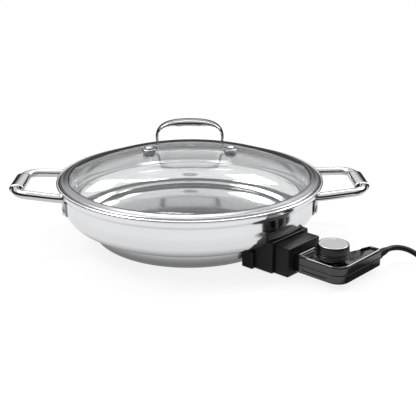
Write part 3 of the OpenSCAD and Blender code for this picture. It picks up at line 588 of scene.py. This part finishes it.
class SKILLET_OT_stage(bpy.types.Operator):
    """Sets the camera, the pale floor, the soft lamps and the white surroundings"""

    bl_idname = "skillet.stage"
    bl_label = "Stage"

    def execute(self, context):
        scene = context.scene
        scene.view_settings.view_transform = "Standard"
        eye = bpy.data.cameras.new("eye")
        eye.lens, eye.sensor_width = sizes().lens, 36.0
        camera = bpy.data.objects.new("eye", eye)
        camera.location = (0.0, -0.9073, 0.3537)
        camera.rotation_euler = np.radians([70.477, 0.0, -1.312])
        scene.collection.objects.link(camera)
        scene.camera = camera
        scene.world = white_room()

        turn = np.linspace(0, 2 * np.pi, 96, endpoint=False)
        disc = join(FLOOR_R * np.cos(turn), FLOOR_R * np.sin(turn), -FLOOR_DROP)
        floor = placed("floor", disc, [list(range(len(disc)))], pale_floor())

        # A wall far round the stage, seen only in mirrors
        band = np.stack([join(WALL_R * np.cos(turn), WALL_R * np.sin(turn), h) for h in (0.0, WALL_H)])
        points, faces = skin(band, caps=False)
        dark = placed("graded_wall", points, faces[0].tolist(), graded_wall())
        dark.visible_camera = dark.visible_diffuse = dark.visible_transmission = dark.visible_shadow = False

        area_light("key", (-1.1, 0.1, 1.5), (0, 0, 0.05), (1.0, 0.9), 22)
        area_light("fill", (1.25, 0.6, 1.1), (0.1, 0, 0.05), (0.9, 0.8), 14)
        area_light("strip", (0.1, 0.45, 1.6), (0, 0, 0.05), (2.0, 0.15), 12)
        return {"FINISHED"}


# Cord


def cord_path():
    """The cord's middle line: out of the relief, down to the table, in and out of a two-layer coil, off to the plug.
    The coil's radius falls by PITCH a turn for two turns, comes round on a parabola in the half turn that climbs to the
    second layer, and then grows by PITCH a turn."""
    # Distance along and across the socket's line from the relief's end, and the share of its height that is left
    steps = np.array([[0, 0, 1], [0, 1, 1], [0.8, 7.2, 1], [3.2, 13, 0.99], [7, 18, 0.94], [12, 21.8, 0.83],
                      [17.8, 24.2, 0.66], [24, 25, 0.46], [31.5, 24.2, 0.26], [39.5, 22.2, 0.11], [47.5, 19.6, 0.03],
                      [55.5, 17.2, 0], [62.5, 15.6, 0], [68.5, 15, 0], [69.5, 15, 0]])
    lead = join(EXIT_U + steps[:, 0], EXIT_V + steps[:, 1], CORD_Z + (SPLIT - CORD_Z) * steps[:, 2])
    a = np.arange(0, 1441, 15.0)
    climb, inner = a - 720, COIL_R - 2 * PITCH
    bend = inner - PITCH / 360 * (climb - climb ** 2 / 180)
    r = np.where(climb < 0, COIL_R - PITCH * a / 360, np.where(climb < 180, bend, inner + PITCH * (climb - 180) / 360))
    t = np.radians(a)
    coil = join(COIL_U + r * np.sin(t), COIL_V - r * np.cos(t), CORD_Z + PITCH * step(climb / 180))
    return chain(lead, coil, [[u, PLUG_V, CORD_Z + PITCH] for u in (PLUG_U - 15, PLUG_U)])


class SKILLET_OT_cord(bpy.types.Operator):
    """Builds the mains cord with its strain relief, coil, tie and plug"""

    bl_idname = "skillet.cord"
    bl_label = "Mains cord"

    def execute(self, context):
        path = turned(spline(cord_path(), sizes().cord_step / MM))
        cord = piece("mains_cord", [skin(along(path, oval(CORD_R, CORD_R, 16)))], "control",
                     "extruded_pvc", ("cord_lead", "cord_coil"))

        # Relief: a fat collar at the arm, then a taper with four ribs, r = taper + 0.35 cos of the distance
        s = np.linspace(0, 1, 90)
        ribs = 4.7 - s + 0.35 * np.cos(2 * np.pi * 4 * s) * (s < 0.95) - 0.35
        collar = soften([[3.2, 53.0], [3.9, 53.0], [3.9, 55.9], [3.6, 56.0], [3.6, 58.1], [5.5, 58.15], [5.5, 63.4],
                         [4.7, 64.2]], 0.5)
        ring = revolve(chain(collar, join(ribs, 64.2 + 13.8 * s), [[3.1, EXIT_V]]), 48)
        relief = join(EXIT_U + ring[..., 0], ring[..., 2], SPLIT + ring[..., 1])
        relief = piece("strain_relief_ribbed", [skin(turned(relief))], "control", "extruded_pvc",
                       ("strain_relief",))

        # Tie: a flat strip round the four runs of cord on the coil's pan side
        loop = evenly(soften([[-7.0, -6.7], [7.0, -6.7], [7.0, 6.7], [-7.0, 6.7]], 2.5, True), 72, True)
        away = unit(np.roll(loop, -1, 0) - np.roll(loop, 1, 0))[:, ::-1] * [1, -1]
        strip = [(-4, 0.05), (-4, 0.45), (-3.8, 0.6), (3.8, 0.6), (4, 0.45), (4, 0.05)]
        hoops = [(loop + away * t + [TIE_U, CORD_Z + PITCH / 2], COIL_V + w) for w, t in strip]
        tie = np.stack([join(hoop[:, 0], v, hoop[:, 1]) for hoop, v in hoops])
        tie = piece("coil_tie", [skin(turned(tie), loop=True)], "control", "woven_tie", ("cord_tie",))

        # Plug: a superellipse that grows from the cord's neck to a boxy body with grip ribs
        at = chain([0, 0.4], np.linspace(1.5, 11, 12), np.linspace(11.6, 41, 70), [41.5, 41.8, 42.0])
        grow = step((at - 7) / 7)
        ease = np.interp(at, [0, 0.4, 41, 41.5, 41.8, 42], [0.94, 1, 1, 0.985, 0.96, 0.92])
        ribs = 0.35 * np.sin(2 * np.pi * at / 3.2) * step((at - 16) / 2) * step((34 - at) / 2)
        wide = (3.4 + 0.09 * at + grow * (8.8 - 0.05 * at) + ribs) * ease
        high = (3.4 + 0.09 * at + grow * (6.2 - 0.06 * at)) * ease
        body = along(join(PLUG_U + at, PLUG_V, CORD_Z + PITCH), oval(wide, high, 64, 2 + 1.6 * grow))
        plug = piece("mains_plug", [skin(turned(body))], "control", "extruded_pvc", ("plug_body",))

        return {"FINISHED"}


# Pan


def bowl(z):
    """Radius of the pan's outside at height z: a quarter circle of radius BOWL_R from the flat floor to the wall."""
    return BOWL_C + BOWL_R * np.sqrt(1 - (np.clip(BOWL_Z - z, 0, BOWL_R) / BOWL_R) ** 2)


class SKILLET_OT_pan(bpy.types.Operator):
    """Builds the drawn pan with its rolled rim, and the base cup under it"""

    bl_idname = "skillet.pan"
    bl_label = "Pan and base"

    def execute(self, context):
        wall = chain(
            join(np.linspace(1, 116, 24), FLOOR_Z), arc(BOWL_C, BOWL_Z, BOWL_R, -90, 0, 40),
            soften([[PAN_R, 53], [PAN_R, 61.0], [150.3, 64.3], [150.3, 68.4]], 1.2),
            arc(150.8, 70.3, 1.7, -62, 205, 24),
            soften([[149.1, 69.2], [149.1, 65.5], [145.8, 65.5], [145.8, 62.0]], 0.9),
            arc(BOWL_C, BOWL_Z, BOWL_R - SHEET, 0, -90, 40), join(np.linspace(116, 1, 40), FLOOR_Z + SHEET))
        piece("pan_wall", [skin(revolve(wall))], "pan", "drawn_stainless", ("pan_shell",))

        cup = chain(
            join(np.linspace(1, 96.5, 128), 0), arc(CUP_R - 18, 18, 18, -90, 0, 28),
            [[CUP_R, 21.7], [CUP_R - 1, 21.7]],
            arc(CUP_R - 18, 18, 17, 0, -90, 28), join(np.linspace(96.5, 1, 128), 1))
        grid = revolve(cup, 256)
        # Two dimples for the screws: the flat rises by 3.4 mm inside a circle of about 8.3 mm
        near = np.hypot(grid[..., 0], np.abs(grid[..., 1]) - 55)
        grid[..., 2] += 3.4 * step((9.1 - near) / 1.6) * (grid[..., 2] < 1.5)
        piece("base_cup", [skin(grid)], "pan", "base_stainless", ("base_cover",))
        return {"FINISHED"}


class SKILLET_OT_handles(bpy.types.Operator):
    """Builds both loop handles with their grips, foot plates and rivets"""

    bl_idname = "skillet.handles"
    bl_label = "Loop handles"

    def execute(self, context):
        az = np.arcsin(LEG_Y / PAN_R)
        reach = GRIP_X - ROOT_X
        # Rod: two legs that close in by 7 mm on the way to the grip, with round bends, and rise by 3 mm
        lean = np.degrees(np.arctan2(7, reach))
        front = chain(join(np.linspace(141, 176, 14), np.linspace(-48.4, -42.4, 14)),
                      arc(GRIP_X - BEND, -23.5, BEND, lean - 90, 0, 18), [[GRIP_X, y] for y in (-20, -14, -6)])
        flat = chain(front, front[::-1] * [1, -1])
        line = join(flat[:, 0], flat[:, 1], GRIP_Z - 3 + 3 * step((flat[:, 0] - ROOT_X) / reach))
        line = spline(line, 1.6)
        rod = along(line, oval(5.0, 5.0, 28))
        # Both ends are cut along the wall and the flare under the rim: each point slides out along the leg
        for end, back in ((0, 1), (-1, -2)):
            d = unit(line[back] - line[end])[:2]
            p = rod[end]
            wall = np.clip(PAN_R + p[:, 2] - 60.7, 148.3, 150.25)
            b = p[:, :2] @ d
            slide = -b + np.sqrt(b * b - (p[:, 0] ** 2 + p[:, 1] ** 2 - wall ** 2))
            rod[end] = p + join(slide * d[0], slide * d[1], 0)
        keep = np.hypot(line[:, 0], line[:, 1]) > 152.5
        keep[[0, -1]] = True
        rod = rod[keep]

        # Grip: a stadium bar 17 by 11 mm whose ends are rounded over
        half, ease = 23.2, np.array([0, 0.15, 0.5, 1.0, 1.8])
        y = chain(ease - half, np.linspace(-20, 20, 16), half - ease[::-1])
        drawn = np.interp(half - np.abs(y), ease, [1.5, 0.85, 0.4, 0.15, 0])
        bar = along(join(GRIP_X, y, GRIP_Z), oval(8.5 - drawn, 5.5 - drawn, 48, 2.4))

        # Foot plate: a tongue on the wall, flat to its edge and rounded off over the last millimetre
        tongue = evenly(soften([[-9, 61.6], [-9, 48], [-6.4, 41.6], [0, 39], [6.4, 41.6], [9, 48], [9, 61.6]], 3.2,
                               True), 72, True)
        share = np.array([0.02, 0.3, 0.6, 0.85, 0.9, 0.94, 0.97, 0.99, 1.0, 0.99, 0.6, 0.02])[:, None]
        lift = np.array([1.6, 1.6, 1.6, 1.6, 1.55, 1.4, 1.15, 0.8, 0.4, 0.1, 0.08, 0.08])[:, None]
        across, z = tongue[None, :, 0] * share / PAN_R, BOWL_Z + (tongue[None, :, 1] - BOWL_Z) * share
        radius = bowl(z) + lift
        plate = join(radius * np.cos(across), radius * np.sin(across), z)

        for side, turn in (("right", 0.0), ("left", np.pi)):
            piece("handle_rod_" + side, [skin(turned(rod, turn))], "pan", "buffed_rod",
                  ("handle_" + side,))
            piece("handle_grip_" + side, [skin(turned(bar, turn))], "pan", "buffed_rod",
                  ("grip_" + side,))
            # The foot plates' steel is painted darker: painted shade
            piece("handle_feet_" + side, [skin(turned(plate, turn + s * az)) for s in (-1, 1)], "pan",
                  "punched_stainless_painted_shade", ("foot_plates_" + side,))

        # Rivet heads: low domes outside and inside the wall
        t = np.linspace(0.1, 1.5, 10)
        head = revolve(chain([[4.75, -0.5], [4.75, 0.25]], join(4.75 * np.cos(t), 0.2 + 1.25 * np.sin(t))), 40)
        heads = []
        for turn in (az, -az, np.pi + az, np.pi - az):
            for r, way in ((148.55, 1), (145.4, -1)):
                grid = join(r + way * head[..., 2], head[..., 0], RIVET_Z + head[..., 1])
                heads.append(skin(turned(grid, turn)))
        piece("rivet_heads", heads, "pan", "buffed_rod", ("handle_rivets",))
        return {"FINISHED"}


# Socket


def socket_section(half, top, round_off):
    """Outline of a socket step in width and height, with 240 points that start below the middle."""
    box = [[0, SOCKET_LOW], [half, SOCKET_LOW], [half, top], [-half, top], [-half, SOCKET_LOW]]
    return evenly(soften(box, round_off, True), 240, True)


def mouth(outline, grow=0.0):
    """The socket's mouth, 31.6 by 10 mm, where rays from its middle to the outline cross it."""
    away = outline - [0, PIN_Z]
    scale = (np.array([15.8 + grow, 5.0 + grow]) / np.maximum(np.abs(away), 1e-6)).min(1)
    return [0, PIN_Z] + away * scale[:, None]


def shrunk(outline, by):
    """The outline moved inwards: each half size gets smaller by the same amount."""
    mid = (outline.max(0) + outline.min(0)) / 2
    half = (outline.max(0) - outline.min(0)) / 2
    return mid + (outline - mid) * (half - by) / half


def closing(outline, height, shares):
    """Copies of the outline, scaled by each share towards the point at that height on its middle line."""
    return [[0, height] + (outline - [0, height]) * f for f in shares]


def on_wall(outline):
    """The distance along the socket's line at which the outline lies 0.3 mm off the base cup and bowl, and itself."""
    z = outline[:, 1]
    reach = np.where(z < 21.5, CUP_R, bowl(np.maximum(z, FLOOR_Z))) + 0.3
    return np.sqrt(reach ** 2 - outline[:, 0] ** 2), outline


def stations(*outlines):
    """Pairs of (distance along the socket's line, outline) as one grid in the pan's frame."""
    return turned(np.stack([join(u, o[:, 0], o[:, 1]) for u, o in outlines]))


class SKILLET_OT_socket(bpy.types.Operator):
    """Builds the stepped black socket on the pan's side"""

    bl_idname = "skillet.socket"
    bl_label = "Socket"

    def execute(self, context):
        e = sizes().bevel / MM
        edge = [(np.sin(t) * e - e, (1 - np.cos(t)) * e) for t in np.radians([0, 22, 45, 68, 90])]
        front = socket_section(27, 33.5, 1.4)
        flange = socket_section(31, 37.0, 2.4)
        foot = socket_section(35, 21.6, 1.2)
        block = stations((146.2, front), *[(FRONT_U + a, shrunk(front, b)) for a, b in edge],
                         (FRONT_U, mouth(front, 0.4)), (FRONT_U - 0.4, mouth(front)), (146.2, mouth(front)))
        plate = stations(*[on_wall(o) for o in closing(flange, 20, (0.02, 0.25, 0.5, 0.75, 0.92, 1))],
                         *[(FLANGE_U + a, shrunk(flange, b)) for a, b in edge],
                         (FLANGE_U, mouth(flange)), (136.0, mouth(flange)))
        low = stations(*[on_wall(o) for o in closing(foot, 9, (0.02, 0.3, 0.6, 0.9, 1))],
                       *[(FOOT_U + a, shrunk(foot, b)) for a, b in edge])
        piece("socket_block", [skin(block, loop=True), skin(plate), skin(low)], "pan",
              "moulded_phenolic", ("socket_housing",))
        return {"FINISHED"}


# Lid


def lid_sphere():
    """Radius and centre height of the lid's dome: a sphere through the glass's edge and its top."""
    rise = GLASS_TOP - GLASS_Z
    r = (GLASS_R ** 2 + rise ** 2) / (2 * rise)
    return r, GLASS_TOP - r


def dome(r, offset):
    """Points (r, z) of the dome at distance r from the axis, on the sphere that lies offset from the glass's middle."""
    radius, centre = lid_sphere()
    return join(r, centre + np.sqrt((radius + offset) ** 2 - np.asarray(r) ** 2))


class SKILLET_OT_lid(bpy.types.Operator):
    """Builds the domed glass with its seal, steel band and steam vent"""

    bl_idname = "skillet.lid"
    bl_label = "Glass lid"

    def execute(self, context):
        h, brim = GLASS_HALF, GLASS_R - 0.8
        r = np.linspace(0.8, brim, 64)
        corners = soften([dome(brim, -h), dome(GLASS_R, -h), dome(GLASS_R, h), dome(brim, h)], 0.5)
        glass = chain(dome(r, -h), corners, dome(r[::-1], h))
        piece("lid_dome", [skin(revolve(glass))], "lid", "tempered_glass", ("lid_glass",))

        # Seal: a thin channel of rubber round the glass's edge
        up = np.linspace(138.8, GLASS_R, 16)
        seal = chain(dome(up, -2.75), [dome(146.8, -2.4), dome(146.8, 2.2)], dome(up[::-1], 2.3), dome(up, 2.06),
                     [dome(GLASS_R, h) + [0.06, 0], dome(GLASS_R, -h) + [0.06, 0]], dome(up[::-1], -2.06))
        piece("lid_seal_ring", [skin(revolve(seal), loop=True)], "lid", "silicone_rubber",
              ("lid_seal",))

        # Band: a channel whose upper flange is rolled over the glass's edge
        band = chain(soften([[141, 67], [141, 65.5], [148.4, 65.5], [148.4, 69]], 0.5), arc(145.4, 70.3, 3, 0, 62, 12),
                     dome(np.linspace(144.6, 140.9, 8), 3.0), [dome(140.6, 2.8) - [0.05, 0]],
                     dome(np.linspace(140.6, 146.85, 12), 2.34), dome(np.linspace(146.85, 141.2, 10), -2.85))
        # The band's steel is painted darker: painted shade
        piece("lid_rim_band", [skin(revolve(band), loop=True)], "lid", "brushed_band_painted_shade", ("lid_band",))

        # Vent: an eyelet turned on its own axis, then tilted to stand square on the dome
        eyelet = soften([[1.8, -3.1], [5.9, -3.1], [5.9, -2.15], [3.45, -2.1], [3.45, 2.1], [6.4, 2.15], [6.4, 2.6],
                         [4.0, 3.2], [2.6, 3.15], [1.8, 2.4]], 0.35)
        radius, centre = lid_sphere()
        ring = revolve(eyelet, 56)
        tilt = np.arcsin(VENT_R / radius)
        c, s = np.cos(tilt), np.sin(tilt)
        y, z = ring[..., 1], ring[..., 2] + radius
        vent = join(ring[..., 0], y * c + z * s, -y * s + z * c + centre)
        piece("steam_eyelet", [skin(vent, loop=True)], "lid", "buffed_rod", ("steam_vent",))
        return {"FINISHED"}


def bezier(*corners):
    """Cubic Bezier curve: four points weighted by (1 - t)^3, 3t(1 - t)^2, 3t^2(1 - t) and t^3."""
    a, b, c, d = np.array(corners, float)
    t = np.linspace(0, 1, 20)[:, None]
    return (1 - t) ** 3 * a + 3 * t * (1 - t) ** 2 * b + 3 * t * t * (1 - t) * c + t ** 3 * d


class SKILLET_OT_lid_handle(bpy.types.Operator):
    """Builds the lid's strap handle with its feet and screws"""

    bl_idname = "skillet.lid_handle"
    bl_label = "Lid handle"

    def execute(self, context):
        foot = float(dome(37.5, GLASS_HALF)[1]) + 1
        low, high = foot + 1.2, STRAP_TOP - 2.2
        rise = high - low
        knee = (-37, low + rise * 0.36)
        half = chain([[-50.0, low], [-STRAP_X, low]], bezier((-41, low), (-37, low), (-36, low + 3), knee)[:-1],
                     bezier(knee, (-38, low + rise * 0.8), (-27, high), (0, high)))
        flat = chain(half, half[-2::-1] * [-1, 1])
        line = spline(join(flat[:, 0], 0, flat[:, 1]), 1.0)
        k = step((line[:, 2] - low) / rise)
        # The arch swells downwards to 8 mm in its middle, and its top keeps its height
        swell = 1.8 * k * step(1.3 - np.abs(line[:, 0]) / 25)
        line[:, 2] -= swell
        strap = along(line, oval(4.5 + 3.5 * k, 1.1 + 1.1 * k + swell, 36, 2.4), (0, 1, 0))

        pad = revolve(soften([[0.5, 0], [8.5, 0], [8.5, 1.3], [7.2, 2.4], [0.5, 2.4]], 0.7), 64)
        t = np.linspace(0.15, 1.45, 10)
        cap = revolve(chain([[2.0, -15], [2.0, 2.4], [4.25, 2.4], [4.25, 3.1]],
                            join(4.25 * np.cos(t), 3.0 + 1.9 * np.sin(t))), 48)
        places = [np.array([x, 0, foot]) for x in (-STRAP_X, STRAP_X)]
        # The strap's steel is painted darker: painted shade, so that its top mirrors the room as dark grey
        piece("lid_strap", [skin(strap)] + [skin(pad + p) for p in places], "lid",
              "punched_stainless_painted_shade", ("lid_handle",))
        piece("lid_screw_caps", [skin(cap + p) for p in places], "lid", "satin_steel", ("lid_screws",))
        return {"FINISHED"}


# Control: the case's arm runs from ARM_START to ARM_END along its inner side, and EYE is a point inside the case from
# which every wall can be seen

ARM_START, ARM_END = np.array([195.3, CASE_V]), np.array([209.3, 58.0])
ARM = unit(ARM_END - ARM_START)
ARM_SIDE = ARM[::-1] * [1, -1]
EYE = np.array([203.0, 3.5])


def case_outline(d, e):
    """The control's case from above: a square body, a round corner and a slanted arm. Its walls are moved in by d, the
    arm's inner side by e."""
    def at(v):
        return ARM_START + ARM * ((v - ARM_START[1] - e * ARM_SIDE[1]) / ARM[1]) + e * ARM_SIDE

    hard = chain([[CASE_U + d, d - CASE_V]], arc(209.3, -3, 14 - d, -90, 0, 16),
                 arc(220.3, 55, max(3 - d, 0.1), 0, 90, 6),
                 [at(ARM_END[1] - d), at(CASE_V - d), [CASE_U + d, CASE_V - d]])
    cut = np.full(len(hard), 0.6)
    cut[-2] = 12.0
    return soften(hard, cut, True, 8)


def cross(a, b):
    """Cross product of flat vectors."""
    return a[..., 0] * b[..., 1] - a[..., 1] * b[..., 0]


def cast(outline, rays):
    """Where rays from the case's inner point meet the outline: the farthest crossing of each ray."""
    a, b = outline - EYE, np.roll(outline, -1, 0) - EYE
    side = b - a
    turn = cross(rays[:, None], side)
    safe = np.where(np.abs(turn) < 1e-9, 1e-9, turn)
    far, part = cross(a, side) / safe, cross(a, rays[:, None]) / safe
    good = (part >= -1e-6) & (part <= 1 + 1e-6) & (far > 0) & (np.abs(turn) >= 1e-9)
    return np.where(good, far, 0).max(1)


def case_ring(kind, d, z, rays):
    """One ring of the case: its wall, the tray inside the lip, or a circle round the knob, moved in by d, at height z.
    The lip ends where the arm's inner side begins: there its height above the tray is scaled down to 0."""
    if kind == "knob":
        away = EYE - [KNOB_U, 0]
        b = rays @ away
        far = -b + np.sqrt(b * b - (away @ away - d * d))
    else:
        far = cast(case_outline(d + 4.4, 2.65 + 0.1 * d) if kind == "tray" else case_outline(d, d), rays)
    ring = EYE + rays * far[:, None]
    level = z
    if kind != "knob" and z > TRAY:
        edge = EYE + rays * cast(case_outline(0, 0), rays)[:, None] - ARM_START
        on_arm = np.abs(edge @ ARM_SIDE) < 3.5
        level = TRAY + (z - TRAY) * (1 - step((edge @ ARM) / 5) * step((38.7 - edge @ ARM) / 1.4) * on_arm)
    if kind == "wall" and d < 0.6:
        # Side panel: a stadium 35 by 11 mm, sunk by 0.4 mm into the straight side
        away = np.hypot(np.maximum(np.abs(ring[:, 0] - 190.8) - 11.9, 0), z - SPLIT) - 5.4
        ring[:, 1] += 0.4 * step(0.5 - away) * (ring[:, 1] < 1 - CASE_V)
    return join(ring[:, 0], ring[:, 1], level)


class SKILLET_OT_control(bpy.types.Operator):
    """Builds the plug-in control's case with its tray, lip and arm, and the sensor rod"""

    bl_idname = "skillet.control"
    bl_label = "Control case"

    def execute(self, context):
        rays = unit(evenly(case_outline(0, 0), 520, True) - EYE)
        bend = np.radians(np.linspace(0, 90, 7))
        lip = [("wall", 2.4 - 2.4 * np.cos(t), CASE_TOP - 2.4 + 2.4 * np.sin(t)) for t in bend]
        inner = [("tray", -1.6 + 1.6 * np.sin(t), CASE_TOP - 1.6 + 1.6 * np.cos(t)) for t in bend]
        upper = [("wall", 0.5, SPLIT + 0.05), ("wall", 0.12, SPLIT + 0.2),
                 *[("wall", 0.0, z) for z in np.arange(SPLIT + 0.6, CASE_TOP - 2.6, 0.4)], *lip, *inner,
                 ("tray", 0.0, TRAY + 0.3), ("tray", 0.15, TRAY), ("knob", 12.15, TRAY), ("knob", 12.0, TRAY + 0.2),
                 ("knob", 12.0, TRAY + 2.9), ("knob", 11.7, TRAY + 3.2), ("knob", 5.2, TRAY + 3.2),
                 ("knob", 5.2, TRAY - 2), ("wall", 2.0, TRAY - 2), ("wall", 2.0, SPLIT + 0.05)]
        lower = [("wall", 2.2, CASE_FOOT), ("wall", 2.0, SPLIT - 0.05), ("wall", 0.5, SPLIT - 0.05),
                 ("wall", 0.12, SPLIT - 0.2), *[("wall", 0.0, z) for z in np.arange(SPLIT - 0.6, CASE_FOOT, -0.4)],
                 *[("wall", 2 - 2 * np.cos(t), CASE_FOOT - 2 * np.sin(t)) for t in bend]]
        for half, levels, loop in (("upper", upper, True), ("lower", lower, False)):
            grid = turned(np.stack([case_ring(*level, rays) for level in levels]))
            piece("control_case_" + half, [skin(grid, loop=loop)], "control", "gloss_abs",
                  ("case_" + half,))

        rod = np.array([[0.4, 54.1], [1.6, 54.3], [2.3, 55.2], [2.5, 56.6], [2.5, 178.2], [0.4, 178.2]])
        ring = revolve(rod, 40)
        probe = join(ring[..., 2], ring[..., 0], PIN_Z + ring[..., 1])
        piece("sensor_probe", [skin(turned(probe))], "control", "satin_steel", ("sensor_rod",))
        return {"FINISHED"}


class SKILLET_OT_knob(bpy.types.Operator):
    """Builds the heat knob with its ring grooves and turned metal disc"""

    bl_idname = "skillet.knob"
    bl_label = "Heat knob"

    def execute(self, context):
        under = [[3.1, 12.5], [3.1, 3.0], [5.5, 3.0], [5.5, 12.5], [12.7, 12.5], [12.7, 0.2], [15.0, 0.2]]
        side = soften([[15.0, 0.2], [15.1, 1.95], [16.9, 2.05], [17.25, 2.7], [17.2, 3.2], [16.2, 3.55], [17.2, 3.9],
                       [17.2, 4.9], [16.8, 5.35], [15.75, 5.5], [15.75, 6.2], [16.6, 6.35], [16.65, 7.2], [15.9, 7.5],
                       [16.6, 7.9], [16.2, 14.5], [15.8, 15.4], [15.3, 15.45], [15.25, 14.55], [15.0, 14.55]], 0.3)
        disc = soften([[0.5, 14.56], [15.1, 14.56], [15.18, 15.0], [14.9, 15.4], [13.9, 15.48], [13.5, 15.3],
                       [13.2, 15.35], [0.5, 15.3]], 0.25)
        middle = np.array([KNOB_U, 0, TRAY + KNOB_GAP])
        for name, profile, slot, material, node in (
                ("heat_knob", chain(under, side), "black_plastic", "etched_abs", "dial_knob"),
                ("knob_disc", disc, "knob_aluminium", "turned_aluminium", "dial_disc")):
            grid = turned(revolve(profile, 128) + middle)
            piece(name, [skin(grid)], "dial", material, (node,), sharp=30.0)
        return {"FINISHED"}


# What stays as packed


class SKILLET_OT_inner_parts(bpy.types.Operator):
    """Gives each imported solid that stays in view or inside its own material"""

    bl_idname = "skillet.inner_parts"
    bl_label = "Inner parts"

    def execute(self, context):
        by_slot = {
            "polished_steel": "buffed_rod", "satin_steel": "satin_steel", "spreader_aluminium": "rolled_aluminium",
            "element_sheath": "scaled_sheath", "plated_brass": "plated_brass", "ceramic": "bisque_ceramic",
            "black_phenolic": "moulded_phenolic", "black_plastic": "gloss_abs", "black_rubber": "extruded_pvc",
            "dark_silicone": "silicone_rubber", "clear_glass": "tempered_glass", "knob_aluminium": "turned_aluminium",
            "tie_fabric": "woven_tie"}
        by_node = {"lid_handle_pads": "clear_silicone", "lid_washers": "clear_silicone"}
        for part in frame["record"]["subparts"]:
            node = frame["nodes"][part["node"]]
            for slot in node.material_slots:
                slot.material = finish(by_node.get(part["node"], by_slot[part["material_slot"]]))
        return {"FINISHED"}


class SKILLET_PT_build(bpy.types.Panel):
    """Lists the skillet's sizes, colours and pieces"""

    bl_label = "Electric skillet"
    bl_idname = "SKILLET_PT_build"
    bl_space_type = "VIEW_3D"
    bl_region_type = "UI"
    bl_category = "Skillet"

    def draw(self, context):
        for group in (context.scene.skillet_sizes, context.scene.skillet_colours):
            for name in group.__annotations__:
                self.layout.prop(group, name)
        for made in OPERATORS:
            self.layout.operator(made.bl_idname)


OPERATORS = (SKILLET_OT_stage, SKILLET_OT_cord, SKILLET_OT_pan, SKILLET_OT_handles, SKILLET_OT_socket, SKILLET_OT_lid,
             SKILLET_OT_lid_handle, SKILLET_OT_control, SKILLET_OT_knob, SKILLET_OT_inner_parts)
CLASSES = (SkilletSizes, SkilletColours, *OPERATORS, SKILLET_PT_build)


def register():
    for made in CLASSES:
        bpy.utils.register_class(made)
    bpy.types.Scene.skillet_sizes = bpy.props.PointerProperty(type=SkilletSizes)
    bpy.types.Scene.skillet_colours = bpy.props.PointerProperty(type=SkilletColours)


def unregister():
    del bpy.types.Scene.skillet_sizes, bpy.types.Scene.skillet_colours
    for made in reversed(CLASSES):
        bpy.utils.unregister_class(made)


def main():
    register()
    for made in OPERATORS:
        group, name = made.bl_idname.split(".")
        getattr(getattr(bpy.ops, group), name)()
    bpy.context.view_layer.update()


if __name__ == "__main__":
    main()
